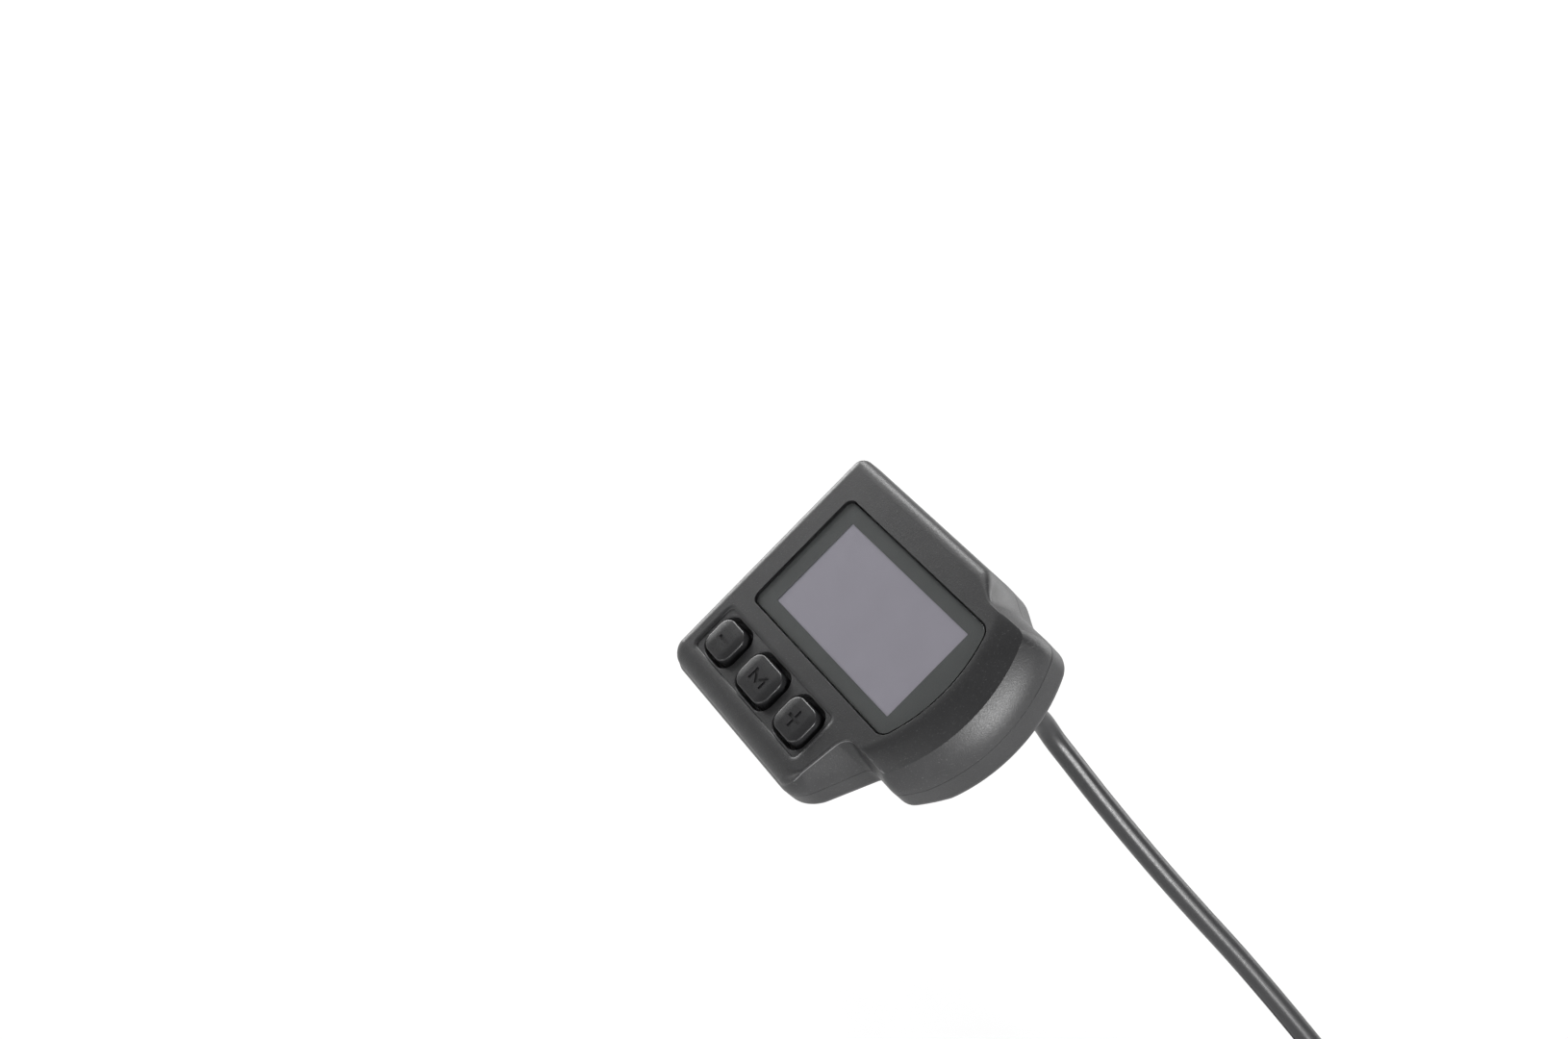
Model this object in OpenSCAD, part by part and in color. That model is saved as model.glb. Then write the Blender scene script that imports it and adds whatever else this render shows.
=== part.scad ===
// A compact e-bike display for a 22.2 mm handlebar, with three keys, a bar clamp and its own lead.
// The origin is on the handlebar's axis, in the middle of the clamp. +X points right along the bar,
// +Y forward and +Z up. The head is drawn lying flat, with the screen's centre at its own zero and
// the face at height zero, and one module then tilts it back towards the rider.

/* [Screen] */
// Width of the lit window
screen_w = 35.8; // [34:0.2:37]
// Height of the lit window
screen_h = 18.2; // [17:0.2:19]
// Border of the lens left of the window
border_left = 4.6; // [4:0.1:5]
// Border right of the window, at the middle of the curved end
border_right = 4.5; // [4:0.1:5]
// Border above and below the window
border_high = 2.75; // [2.5:0.05:3.1]
// Thickness of the lens
lens_t = 1.2; // [1:0.1:1.4]

/* [Head] */
// Reach of the head to the left of the screen centre
head_left = 29.6; // [29.4:0.1:31]
// Reach to the right, at the middle of the curved end
head_right = 31.3; // [30.8:0.1:32]
// Radius of the curved end
end_r = 28; // [27:0.2:29]
// Top edge over the left part
head_top = 19.3; // [19:0.1:21]
// Top edge beside the curved end
head_top_low = 17.1; // [16.9:0.1:17.8]
// Lower edge of the screen section, where the key section ends
head_low = 17; // [16.6:0.1:17.4]
// Bottom edge, under the keys
head_bottom = 29.6; // [29.2:0.1:31]
// Where the key section ends on the right
foot_x = 14.6; // [14.2:0.1:15.4]
// Thickness of the head at the screen
head_t = 13.8; // [13.6:0.1:15]
// Thickness of the head at its bottom edge
head_t_low = 8.6; // [8.2:0.1:9.4]
// Depth of the seam between the covers at the screen
seam_depth = 7.6; // [7.4:0.1:8]
// Depth of the seam at the bottom edge
seam_low = 3.6; // [3.4:0.1:4.2]
// Wall of both covers
wall = 1.8; // [1.5:0.1:2]
// Thickness of the face plate
face_t = 2.3; // [2.3:0.1:2.5]
// Radius of the soft outer edges
roll_r = 2.4; // [1.8:0.1:2.8]
// Draw-in from the seam to the crease at the curved end
skirt = 2.35; // [1.8:0.05:2.6]
// Width of the sloping band before the crease at the curved end
band = 6; // [5:0.1:6.4]
// Drop of the face across that band
band_drop = 1.35; // [0.8:0.05:1.6]

/* [Keys] */
// Distance between the keys' centres
key_pitch = 12.15; // [12.1:0.05:12.4]
// Width of the outer keys' tops
key_w = 7.2; // [6.8:0.1:7.4]
// Width of the middle key's top
key_mid_w = 9.2; // [8.8:0.1:9.4]
// Height of the keys' tops
key_h = 6.8; // [6.5:0.1:7.2]
// Gap round a key's foot in its hole
key_gap = 0.7; // [0.5:0.05:0.8]
// Travel of a key
key_travel = 0.5; // [0.3:0.05:0.55]

/* [Clamp] */
// Diameter of the handlebar
bar_d = 22.2; // [22.2:0.1:22.6]
// Width of the clamp along the bar
clamp_w = 14; // [13:0.5:15]
// Wall of the clamp
clamp_t = 3; // [2.6:0.1:3.4]
// Thickness of the rubber liner
liner_t = 0.9; // [0.7:0.1:1.1]
// Tilt of the head towards the rider
tilt = 36.7; // [30:0.1:45]

/* [Lead] */
// Diameter of the lead
cable_d = 3.8; // [3.4:0.1:4]
// Radius of the coil at its outer turn
coil_r = 23.5; // [22:0.5:26]
// Diameter of the plug's body
plug_d = 9; // [8:0.5:10]
// Length of the plug's grip
plug_l = 15; // [12:0.5:18]

/* [Hidden] */
$fn = 48;

// Overrun of every cut, and the reach of a cut that takes all that lies beyond it
cut = 1;
far = 60;
// Gap between pieces that sit loosely together, and round a shaft in its hole
sit = 0.1;
run = 0.05;

// Bar axis seen from the screen centre: below it, and behind the face
bar_below = 11;
bar_behind = 28;
// The clamp's middle, left of the screen centre, where the head hides it
clamp_left = 16.5;
bar_r = bar_d / 2;
ring_r = bar_r + liner_t;

// Outline of the head
bow_x = head_right - end_r;
bow_up = 0.8;
corner_r = 3.8;
top_corner_r = 2.5;
foot_r = 5.2;
notch_x = 18.4;
notch_r = 1.5;
low_corner_r = 2.6;
high_corner_r = 4.3;
least_r = 0.3;
// Lean of the key section's right end, at the seam and at the face
foot_lean_seam = 18.3;
foot_lean_face = 8.8;
// The bend in the top edge, at the seam and at the face
bend_seam_right = 18;
bend_seam_left = 10.8;
bend_face_right = 17;
bend_face_left = 10;
// Draw-in from the seam to the crease at the top edge, the lower edge and the key section's end
skirt_top = 1.85;
skirt_low = 1.2;
skirt_foot = 1.4;
// How much the skirt bulges, and its rings
skirt_power = 1.7;
skirt_steps = 3;
// The notch's corner moves left and widens from the seam to the crease
notch_slide = 1.4;
notch_more = 1.3;
// The rim under the keys is rolled over a wider strip than the other edges
rim_share = 1.45;
// How late the band bends down to the crease
band_power = 1.1;
// Draft of the soft walls and radius of the creased edges
soft_draft = 0.35;
crease_r = 0.4;
// Angles of the rings in an edge's roll
roll_steps = [0, 22.5, 45, 67.5, 90];
// Steps of a small corner, the bend in the top edge and the curved end
corner_steps = 6;
bend_steps = 10;
bow_steps = 18;

// Where the seam and the back start to rise towards the bottom edge
seam_knee = -13;
back_knee = -11;
// The middle from which the face and the back are closed lies on the back's knee
mid_x = 0;
mid_y = back_knee;
back_r = 2.2;
back_steps = [0, 22.5, 45, 67.5, 90];

// Rooms inside the covers
room_soft = 3;
room_crisp = 4;

// Reach of the lens from the screen centre
lens_left = screen_w / 2 + border_left;
lens_right = screen_w / 2 + border_right;
lens_half = screen_h / 2 + border_high;

// The stack behind the lens, as depths below the face
lens_top = 0.1;
tape_t = 0.15;
lens_low = lens_top + lens_t;
ledge = lens_low + tape_t;
lens_gap = 0.2;
lens_r = 1.5;
lens_bow_r = 27;
lens_end_r = 2.3;
window_gap = 0.6;
foam_t = 0.15;
glass_top = face_t + foam_t;
glass_t = 1.6;
glass_over_w = 2.7;
glass_over_h = 2;
board_top = 6.2;
board_t = 1.2;
board_low = board_top + board_t;
backlight_inset = 0.2;

// The flexible print between glass and board
flex_t = 0.2;
flex_w = 12;
flex_out = 0.6;

// Board outline
board_left = 22;
board_right = 20.2;
board_high = 15.6;
board_high_right = 12.4;
board_step_x = 11;
board_low_y = 12.1;
board_key_left = 25.6;
board_key_right = 10;
board_key_top = 14.5;
board_key_low = 23;

// Screws that hold the board to posts behind the face, as [across, up]
board_holes = [[-15, 14], [8, 14], [10.5, -13.2]];
post_r = 1.5;
board_screw_r = 0.7;
board_screw_head_r = 1.4;
board_screw_head_t = 0.8;
board_screw_in = 2.6;

// Screws that close the covers, as [across, up]
housing_holes = [[-25, 14.9], [22.9, 13.2], [-25, -11.4], [23.1, -12.4]];
boss_r = 2.1;
rear_boss_r = 2.9;
screw_r = 1;
screw_head_r = 1.9;
screw_head_t = 1.3;
screw_sunk = 2;
screw_tip = 3.8;
screw_end_gap = 0.4;

// Gasket in the rear cover's rim
gasket_in = 0.55;
gasket_w = 0.7;
gasket_t = 0.8;

// Keys. They are listed as [centre across, width of the top]
key_x = -8.2;
key_y = -20.2;
// The plus key's top is a little wider than the minus key's
key_more = 0.4;
keys = [[key_x - key_pitch, key_w], [key_x, key_mid_w], [key_x + key_pitch, key_w + key_more]];
channel_depth = 0.65;
channel_over = 0.3;
key_r = 2;
key_hole_r = 2.6;
key_spread = 0.9;
key_spread_up = 0.15;
key_edge = 0.3;
key_foot = 1.7;
flange_top = face_t + sit;
flange_t = 0.7;
flange_over = 0.15;
flange_over_up = 0.55;
mat_top = flange_top + flange_t + key_travel + sit;
mat_t = 0.5;
mat_over = 1.5;
stem_r = 0.9;
stem_up = 0.6;
switch_w = 4.6;
switch_t = 1.25;
switch_floor = 0.2;
switch_top = board_top - switch_t;
stem_top = switch_top - stem_up;
post_key_r = 1.1;
mat_hole_gap = 0.1;

// Connector, chips and wires on the back of the board
connector_w = 5;
connector_l = 6.6;
connector_t = 3;
wire_r = 0.4;
wire_step = 0.9;
wire_bend = 1.2;
wire_rise = 0.8;
wires = 5;
// Chips as [across, up, width, height, thickness]
chips = [
    [-6, 1, 7, 7, 1], [-14, 6, 4, 5, 1.5], [-15, -5, 3, 3, 1], [3, -8, 5, 4, 1.7],
    [0, 9, 2, 1.2, 0.8], [4, 9, 2, 1.2, 0.8], [-8, -9, 2, 1.2, 0.8], [-12, -9, 2, 1.2, 0.8]
];

// Gland where the lead leaves the back, as a place on the face
gland_x = 18.3;
gland_y = 7.6;
gland_hole_r = 3.1;
gland_flange_r = 4.2;
gland_flange_t = 1.2;
gland_collar_r = 4.1;
gland_collar_t = 1.6;
gland_l = 11;
gland_tip_wall = 0.7;
gland_tip_r = cable_d / 2 + gland_tip_wall;
gland_ribs = 3;
gland_rib_w = 0.7;

// Clamp
slit = 2.4;
ear_t = 4;
ear_l = 7.2;
clamp_screw_r = 1.5;
clamp_screw_out = 3.6;
clamp_head_r = 2.75;
clamp_head_t = 2;
clamp_head_sunk = 0.8;
nut_flats = 5.5;
nut_t = 2.4;
saddle_w = 18;
saddle_lean = 20;
pad_t = 4.5;
bracket_step = 4;
bracket_r = 1.4;
bracket_head_r = 2.5;
bracket_head_t = 1.2;
bracket_in = 4.2;
bracket_boss_r = 2.7;
drive_share = 0.5;
liner_lip = 0.8;

// Lead. Its free stretch starts on the gland's tip and follows these points down, forward and to
// the right.
function on_bar(x, y, depth) =
    let (up_face = y + bar_below, off_bar = bar_behind - depth)
    [x + clamp_left, up_face * cos(tilt) - off_bar * sin(tilt),
        up_face * sin(tilt) + off_bar * cos(tilt)];
route = [
    on_bar(gland_x, gland_y, head_t + gland_l), [34.8, 15.3, 10.5], [35.9, 17.2, 6.9],
    [38.6, 19.3, 3.0], [42.6, 22.2, -2.4], [47.2, 26.0, -9.0], [52.0, 30.1, -15.8],
    [57.0, 34.7, -23.0], [62.2, 39.7, -30.6], [67.6, 44.5, -38.4], [72.9, 49.1, -46.2],
    [77.9, 53.3, -53.6], [82.5, 57.2, -60.4]
];
route_end = route[len(route) - 1];
route_last = route_end - route[len(route) - 2];
heading = atan2(route_last.y, route_last.x);
dive = -atan2(route_last.z, norm([route_last.x, route_last.y]));
cable_sides = 8;
coil_sides = 6;
coil_rings = 24;
coil_gap = 0.5;
coil_turns = 3;
coil_pitch = cable_d + coil_gap;
coil_tail = 8;
wind = coil_turns + (90 - dive) / 360;
tie_w = 5;
tie_t = 1;
tie_gap = 0.3;
tie_angle = 200;

// Plug
plug_boot_l = 9;
plug_collar_l = 3;
plug_collar_over = 0.6;
plug_nose_d = 7.6;
plug_nose_l = 7;
plug_wall = 0.8;
plug_socket = 5.5;
pin_r = 0.4;
pin_ring_r = 1.9;
pins = 5;
pin_out = 4.2;
insert_t = 1.6;

function share01(x) = min(1, max(0, x));
function mix(a, b, t) = a + (b - a) * t;
function smooth(t) = t * t * (3 - 2 * t);
function unit(v) = v / norm(v);

// Points on an arc, each with a third value that goes from s0 to s1
function arc(cx, cy, rx, ry, a0, a1, steps, s0, s1) = [
    for (i = [0:steps])
        let (t = i / steps, a = mix(a0, a1, t))
        [cx + rx * cos(a), cy + ry * sin(a), mix(s0, s1, t)]
];

// The outline of the head at one level, counter-clockwise from the lower left corner. soft draws in
// the rounded edges and crisp the creased ones. rise goes from 0 at the seam to 1 at the crease, and
// slide moves the curved end to the left. The third value of a point says how far its edge is a
// creased one.
function outline(soft, crisp, rise = 0, slide = 0) =
    let (
        rim = soft * rim_share,
        left_r = max(least_r, corner_r - soft),
        rim_r = max(least_r, corner_r - rim),
        foot = crisp + skirt_foot * rise,
        end_foot_r = max(least_r, foot_r - foot),
        rim_foot_r = max(least_r, foot_r - rim),
        lean = mix(foot_lean_seam, foot_lean_face, rise),
        low = crisp + skirt_low * rise,
        high = crisp + skirt_top * rise,
        low_r = max(least_r, low_corner_r - low),
        high_r = max(least_r, high_corner_r - high),
        r = end_r - crisp,
        mid = bow_x - slide,
        mid_up = bow_up * (1 - rise),
        low_y = -head_low + low + low_r,
        high_y = head_top_low - high - high_r,
        low_x = mid + sqrt(pow(r - low_r, 2) - pow(low_y - mid_up, 2)),
        high_x = mid + sqrt(pow(r - high_r, 2) - pow(high_y - mid_up, 2)),
        low_a = atan2(low_y - mid_up, low_x - mid),
        high_a = atan2(high_y - mid_up, high_x - mid),
        bend_right = mix(bend_seam_right, bend_face_right, rise),
        bend_left = mix(bend_seam_left, bend_face_left, rise),
        top_r = max(least_r, top_corner_r - soft)
    )
    concat(
        arc(-head_left + soft + left_r, -head_bottom + rim + rim_r, left_r, rim_r, 180, 270,
            corner_steps, 0, 0),
        arc(foot_x - foot - end_foot_r, -head_bottom + rim + rim_foot_r, end_foot_r, rim_foot_r,
            270, 360 - lean, corner_steps, 0, 1),
        arc(notch_x - notch_slide * rise, -head_low - notch_r,
            notch_r + crisp + notch_more * rise, notch_r + low, 180 - lean, 90,
            corner_steps, 1, 1),
        arc(low_x, low_y, low_r, low_r, -90, low_a, corner_steps, 1, 1),
        [for (i = [1:bow_steps - 1])
            let (a = mix(low_a, high_a, i / bow_steps))
            [mid + r * cos(a), mid_up + r * sin(a), 1]],
        arc(high_x, high_y, high_r, high_r, high_a, 90, corner_steps, 1, 1),
        [for (i = [0:bend_steps])
            let (t = i / bend_steps)
            [mix(bend_right, bend_left, t),
             mix(head_top_low - high, head_top - soft, smooth(t)), 1 - smooth(t)]],
        arc(-head_left + soft + top_r, head_top - soft - top_r, top_r, top_r, 90, 180,
            corner_steps, 0, 0),
        [for (y = [0, back_knee, seam_knee]) [-head_left + soft, y, 0]]
    );
function flat(points) = [for (p = points) [p.x, p.y]];

// How far the face has dropped at a place, across the band before the curved end's crease
function face_drop(x, y) =
    let (edge_x = bow_x - skirt + sqrt(max(0, end_r * end_r - y * y)))
    band_drop * pow(share01(1 - (edge_x - x) / band), band_power);
// How deep the seam and the back lie at a height on the face
function seam_at(y) = seam_depth - (seam_depth - seam_low) * max(0, seam_knee - y)
    / (head_bottom + seam_knee);
function back_at(y) = head_t - (head_t - head_t_low) * max(0, back_knee - y)
    / (head_bottom + back_knee);

// Rings of the face side, from the flat of the face out over the edges and down past the seam
function face_ring(i) =
    let (
        a = roll_steps[i],
        ring = outline(
            soft_draft + roll_r * (1 - sin(a)),
            crease_r * (1 - sin(a)),
            1,
            skirt + band * (1 - i / (len(roll_steps) - 1))
        )
    )
    [for (p = ring)
        [p.x, p.y, -mix(roll_r, crease_r, p.z) * (1 - cos(a)) - face_drop(p.x, p.y)]];
function at_depth(points, depth) = [for (p = points) [p.x, p.y, -depth]];
crease_ring = face_ring(len(roll_steps) - 1);
// The skirt bulges from the crease down to the seam, where it stands upright
function skirt_ring(t) =
    let (
        rise = pow(1 - t, skirt_power),
        ring = outline(soft_draft * rise, 0, rise, skirt * rise)
    )
    [for (i = [0:len(ring) - 1])
        [ring[i].x, ring[i].y, mix(crease_ring[i].z, -seam_at(ring[i].y) - run, t)]];
face_rings = concat(
    [for (i = [0:len(roll_steps) - 1]) face_ring(i)],
    [for (i = [1:skirt_steps]) skirt_ring(i / skirt_steps)],
    [at_depth(outline(0, 0), seam_depth + cut)]
);

// Rings of the back, from above the seam down the wall and round on to the flat of the back
function back_ring(a) =
    let (inset = back_r * (1 - cos(a)))
    [for (p = outline(inset, inset))
        [p.x, p.y, -back_at(p.y) + back_r * (1 - sin(a))]];
back_side = concat(
    [at_depth(outline(0, 0), seam_low - cut)],
    [for (a = back_steps) back_ring(a)]
);

// A closed solid through rings of points that lie one below the other, with a middle at each end
module loft(rings, top, bottom) {
    n = len(rings[0]);
    m = len(rings);
    points = concat([top], [bottom], [for (r = rings) for (p = r) p]);
    function at(j, i) = 2 + j * n + (i % n);
    polyhedron(points, concat(
        [for (i = [0:n - 1]) [0, at(0, i + 1), at(0, i)]],
        [for (i = [0:n - 1]) [1, at(m - 1, i), at(m - 1, i + 1)]],
        [for (j = [0:m - 2]) for (i = [0:n - 1]) [at(j, i), at(j, i + 1), at(j + 1, i)]],
        [for (j = [0:m - 2]) for (i = [0:n - 1])
            [at(j + 1, i), at(j, i + 1), at(j + 1, i + 1)]]
    ));
}

// The head's own places, tilted back over the bar
module on_head() {
    rotate([tilt, 0, 0])
        translate([clamp_left, bar_below, bar_behind])
            children();
}

// A plate or a prism between two depths below the face
module between(top, low) {
    translate([0, 0, -low])
        linear_extrude(low - top)
            children();
}

// A profile drawn as [up the face, height], swept right across the head
module across(from, to) {
    translate([from, 0, 0])
        rotate([90, 0, 90])
            linear_extrude(to - from)
                children();
}

// All that lies further from the face than the seam, moved by a shift
module under_seam(shift) {
    across(-far, far)
        polygon([
            [far, -seam_depth - shift], [seam_knee, -seam_depth - shift],
            [-head_bottom - cut, -seam_at(-head_bottom - cut) - shift],
            [-head_bottom - cut, -far], [far, -far]
        ]);
}

// All that lies further from the face than the back, moved by a shift
module under_back(shift) {
    across(-far, far)
        polygon([
            [far, -head_t - shift], [back_knee, -head_t - shift],
            [-head_bottom - cut, -back_at(-head_bottom - cut) - shift],
            [-head_bottom - cut, -far], [far, -far]
        ]);
}

module rounded(w, h, r) {
    polygon([
        for (c = [[1, 1, 0], [-1, 1, 90], [-1, -1, 180], [1, -1, 270]])
            for (i = [0:corner_steps])
                let (a = c.z + 90 * i / corner_steps)
                [c.x * (w / 2 - r) + r * cos(a), c.y * (h / 2 - r) + r * sin(a)]
    ]);
}

// The lens's outline, square on the left and curved on the right, drawn in by an inset
module lens_shape(inset) {
    left = lens_left - inset;
    half = lens_half - inset;
    r = lens_bow_r - inset;
    bow = lens_right - lens_bow_r;
    left_r = max(least_r, lens_r - inset);
    right_r = max(least_r, lens_end_r - inset);
    end_y = half - right_r;
    end_x = bow + sqrt(pow(r - right_r, 2) - end_y * end_y);
    end_a = atan2(end_y, end_x - bow);
    polygon(flat(concat(
        arc(-left + left_r, -half + left_r, left_r, left_r, 180, 270, corner_steps, 0, 0),
        arc(end_x, -end_y, right_r, right_r, -90, -end_a, corner_steps, 0, 0),
        arc(bow, 0, r, r, -end_a, end_a, bow_steps, 0, 0),
        arc(end_x, end_y, right_r, right_r, end_a, 90, corner_steps, 0, 0),
        arc(-left + left_r, half - left_r, left_r, left_r, 90, 180, corner_steps, 0, 0)
    )));
}

module key_holes(grow) {
    for (k = keys)
        translate([k.x, key_y])
            rounded(k.y + 2 * (key_spread + key_gap) + grow,
                key_h + 2 * (key_spread_up + key_gap) + grow, key_hole_r);
}

module channel_shape() {
    left = keys[0].x - keys[0].y / 2 - key_spread - key_gap - channel_over;
    right = keys[2].x + keys[2].y / 2 + key_spread + key_gap + channel_over;
    translate([(left + right) / 2, key_y])
        rounded(right - left, key_h + 2 * (key_spread_up + key_gap + channel_over),
            key_hole_r);
}

module front_cover() {
    color([0.16, 0.16, 0.17])
        on_head()
            difference() {
                union() {
                    difference() {
                        loft(face_rings, [mid_x, mid_y, 0],
                            [mid_x, mid_y, -seam_depth - cut]);
                        between(face_t, far)
                            polygon(flat(outline(room_soft, room_crisp)));
                    }
                    for (p = housing_holes)
                        translate([p.x, p.y, -seam_depth - cut])
                            cylinder(r = boss_r, h = seam_depth - face_t + 1.5 * cut);
                    for (p = board_holes)
                        translate([p.x, p.y, -board_top])
                            cylinder(r = post_r, h = board_top - face_t + cut / 2);
                }
                under_seam(0);
                between(-cut, ledge)
                    lens_shape(-lens_gap);
                between(-cut, face_t + cut)
                    rounded(screen_w + 2 * window_gap, screen_h + 2 * window_gap,
                        least_r);
                between(-cut, channel_depth)
                    channel_shape();
                between(-cut, face_t + cut)
                    key_holes(0);
                for (p = housing_holes)
                    translate([p.x, p.y, -seam_depth - cut])
                        cylinder(r = screw_r + run,
                            h = seam_depth + cut - screw_tip + screw_end_gap);
                for (p = board_holes)
                    translate([p.x, p.y, -board_top - cut])
                        cylinder(r = board_screw_r + run,
                            h = cut + board_screw_in + screw_end_gap);
            }
}

// The room inside the rear cover
module rear_room() {
    difference() {
        between(seam_low - cut, head_t)
            polygon(flat(outline(wall, wall)));
        under_back(-wall);
    }
}

module rear_cover() {
    color([0.13, 0.13, 0.14])
        on_head()
            difference() {
                union() {
                    difference() {
                        union() {
                            loft(back_side, [mid_x, mid_y, -seam_low + cut],
                                [mid_x, mid_y, -back_at(mid_y)]);
                            translate([-clamp_left - clamp_w / 2, -bar_below - saddle_w / 2,
                                -head_t])
                                cube([clamp_w, saddle_w, pad_t]);
                        }
                        rear_room();
                    }
                    for (p = housing_holes)
                        translate([p.x, p.y, -back_at(p.y) + wall / 2])
                            cylinder(r = rear_boss_r,
                                h = back_at(p.y) - wall / 2 - seam_low);
                    for (s = [-1, 1])
                        translate([-clamp_left + s * bracket_step, -bar_below,
                            -head_t + wall / 2])
                            cylinder(r = bracket_boss_r, h = bracket_in + sit);
                }
                difference() {
                    translate([0, 0, -seam_depth])
                        linear_extrude(far)
                            square(2 * far, center = true);
                    under_seam(0);
                }
                gasket_groove(gasket_in, gasket_w, gasket_t);
                for (p = housing_holes) {
                    translate([p.x, p.y, -far])
                        cylinder(r = screw_r + sit, h = far);
                    translate([p.x, p.y, -far])
                        cylinder(r = screw_head_r + sit,
                            h = far - back_at(p.y) + screw_sunk);
                }
                for (s = [-1, 1])
                    translate([-clamp_left + s * bracket_step, -bar_below, -head_t - cut])
                        cylinder(r = bracket_r + run, h = cut + bracket_in);
                translate([gland_x, gland_y, -head_t - cut])
                    cylinder(r = gland_hole_r + sit, h = wall + 2 * cut);
            }
}

// A band that follows the outline inside the rim, from the seam down
module gasket_groove(inset, width, depth) {
    difference() {
        between(seam_low - cut, seam_depth + depth + cut)
            difference() {
                polygon(flat(outline(inset, inset)));
                polygon(flat(outline(inset + width, inset + width)));
            }
        under_seam(depth);
    }
}

module housing_gasket() {
    color([0.06, 0.06, 0.06])
        on_head()
            intersection() {
                gasket_groove(gasket_in + run, gasket_w - 2 * run, gasket_t);
                under_seam(0);
            }
}

module lens() {
    color([0.2, 0.21, 0.21])
        on_head()
            between(lens_top, lens_low)
                lens_shape(0);
}

module lens_tape() {
    color([0.1, 0.1, 0.1])
        on_head()
            between(lens_low, ledge)
                difference() {
                    lens_shape(window_gap);
                    rounded(screen_w + 4 * window_gap, screen_h + 4 * window_gap, least_r);
                }
}

module screen_foam() {
    color([0.08, 0.08, 0.08])
        on_head()
            between(face_t, glass_top)
                difference() {
                    square([screen_w + 2 * glass_over_w, screen_h + 2 * glass_over_h],
                        center = true);
                    square([screen_w + 4 * window_gap, screen_h + 4 * window_gap],
                        center = true);
                }
}

module lcd_panel() {
    color([0.54, 0.54, 0.57])
        on_head()
            between(glass_top, glass_top + glass_t)
                square([screen_w + 2 * glass_over_w, screen_h + 2 * glass_over_h],
                    center = true);
}

module lcd_backlight() {
    inset = 2 * backlight_inset;
    color([0.92, 0.92, 0.9])
        on_head()
            between(glass_top + glass_t, board_top)
                square([screen_w + 2 * glass_over_w - inset,
                    screen_h + 2 * glass_over_h - inset], center = true);
}

module lcd_flex() {
    edge = -screen_w / 2 - glass_over_w;
    out = edge - flex_out;
    color([0.75, 0.45, 0.15])
        on_head()
            translate([0, flex_w / 2, 0])
                rotate([90, 0, 0])
                    linear_extrude(flex_w)
                        polygon([
                            [edge, -glass_top - flex_t], [out, -glass_top - flex_t],
                            [out, -board_top], [edge, -board_top],
                            [edge, -board_top + flex_t], [out + flex_t, -board_top + flex_t],
                            [out + flex_t, -glass_top - 2 * flex_t],
                            [edge, -glass_top - 2 * flex_t]
                        ]);
}

module board_outline() {
    polygon([
        [-board_left, board_high], [board_step_x, board_high],
        [board_step_x, board_high_right], [board_right, board_high_right],
        [board_right, -board_low_y], [board_holes[2].x + post_r, -board_low_y],
        [board_holes[2].x + post_r, board_holes[2].y - post_r],
        [board_key_right, board_holes[2].y - post_r], [board_key_right, -board_key_low],
        [-board_key_left, -board_key_low], [-board_key_left, -board_key_top],
        [-board_left, -board_key_top]
    ]);
}

module main_board() {
    color([0.05, 0.3, 0.16])
        on_head()
            difference() {
                between(board_top, board_low)
                    board_outline();
                for (p = board_holes)
                    translate([p.x, p.y, -board_low - cut])
                        cylinder(r = board_screw_r + sit, h = board_t + 2 * cut);
            }
}

module board_chips() {
    color([0.1, 0.1, 0.11])
        on_head()
            for (c = chips)
                translate([c[0] - c[2] / 2, c[1] - c[3] / 2, -board_low - c[4]])
                    cube([c[2], c[3], c[4]]);
}

module board_connector() {
    edge = gland_x - wire_bend - connector_l / 2;
    color([0.9, 0.88, 0.8])
        on_head()
            translate([edge - connector_w, gland_y - connector_l / 2,
                -board_low - connector_t])
                cube([connector_w, connector_l, connector_t]);
}

// One wire rises from the gland, bends over and runs into the connector's side
module lead_wire(y) {
    start = -head_t + wall + gland_flange_t;
    bend_z = start + wire_rise;
    edge = gland_x - wire_bend - connector_l / 2;
    translate([gland_x, y, start])
        cylinder(r = wire_r, h = wire_rise);
    translate([gland_x - wire_bend, y, bend_z])
        rotate([90, 0, 0])
            rotate_extrude(angle = 90)
                translate([wire_bend, 0])
                    circle(r = wire_r);
    translate([edge, y, bend_z + wire_bend])
        rotate([0, 90, 0])
            cylinder(r = wire_r, h = connector_l / 2);
}

module lead_wires() {
    tints = [[0.7, 0.1, 0.1], [0.1, 0.1, 0.1], [0.1, 0.4, 0.2], [0.8, 0.8, 0.8], [0.8, 0.6, 0.1]];
    on_head()
        for (i = [0:wires - 1])
            color(tints[i % len(tints)])
                lead_wire(gland_y + (i - (wires - 1) / 2) * wire_step);
}

module board_screws() {
    color([0.7, 0.7, 0.72])
        on_head()
            for (p = board_holes)
                translate([p.x, p.y, 0]) {
                    translate([0, 0, -board_low])
                        cylinder(r = board_screw_r, h = board_t + board_screw_in);
                    translate([0, 0, -board_low - board_screw_head_t])
                        cylinder(r = board_screw_head_r, h = board_screw_head_t);
                }
}

module housing_screws() {
    color([0.25, 0.25, 0.26])
        on_head()
            for (p = housing_holes)
                let (seat = back_at(p.y) - screw_sunk)
                difference() {
                    union() {
                        translate([p.x, p.y, -seat])
                            cylinder(r = screw_r, h = seat - screw_tip);
                        translate([p.x, p.y, -seat - screw_head_t])
                            cylinder(r = screw_head_r, h = screw_head_t);
                    }
                    translate([p.x, p.y, -seat - screw_head_t])
                        for (a = [0, 90])
                            rotate(a)
                                cube([screw_head_r * 2 * drive_share, screw_r * drive_share,
                                    screw_head_t], center = true);
                }
}

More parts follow.
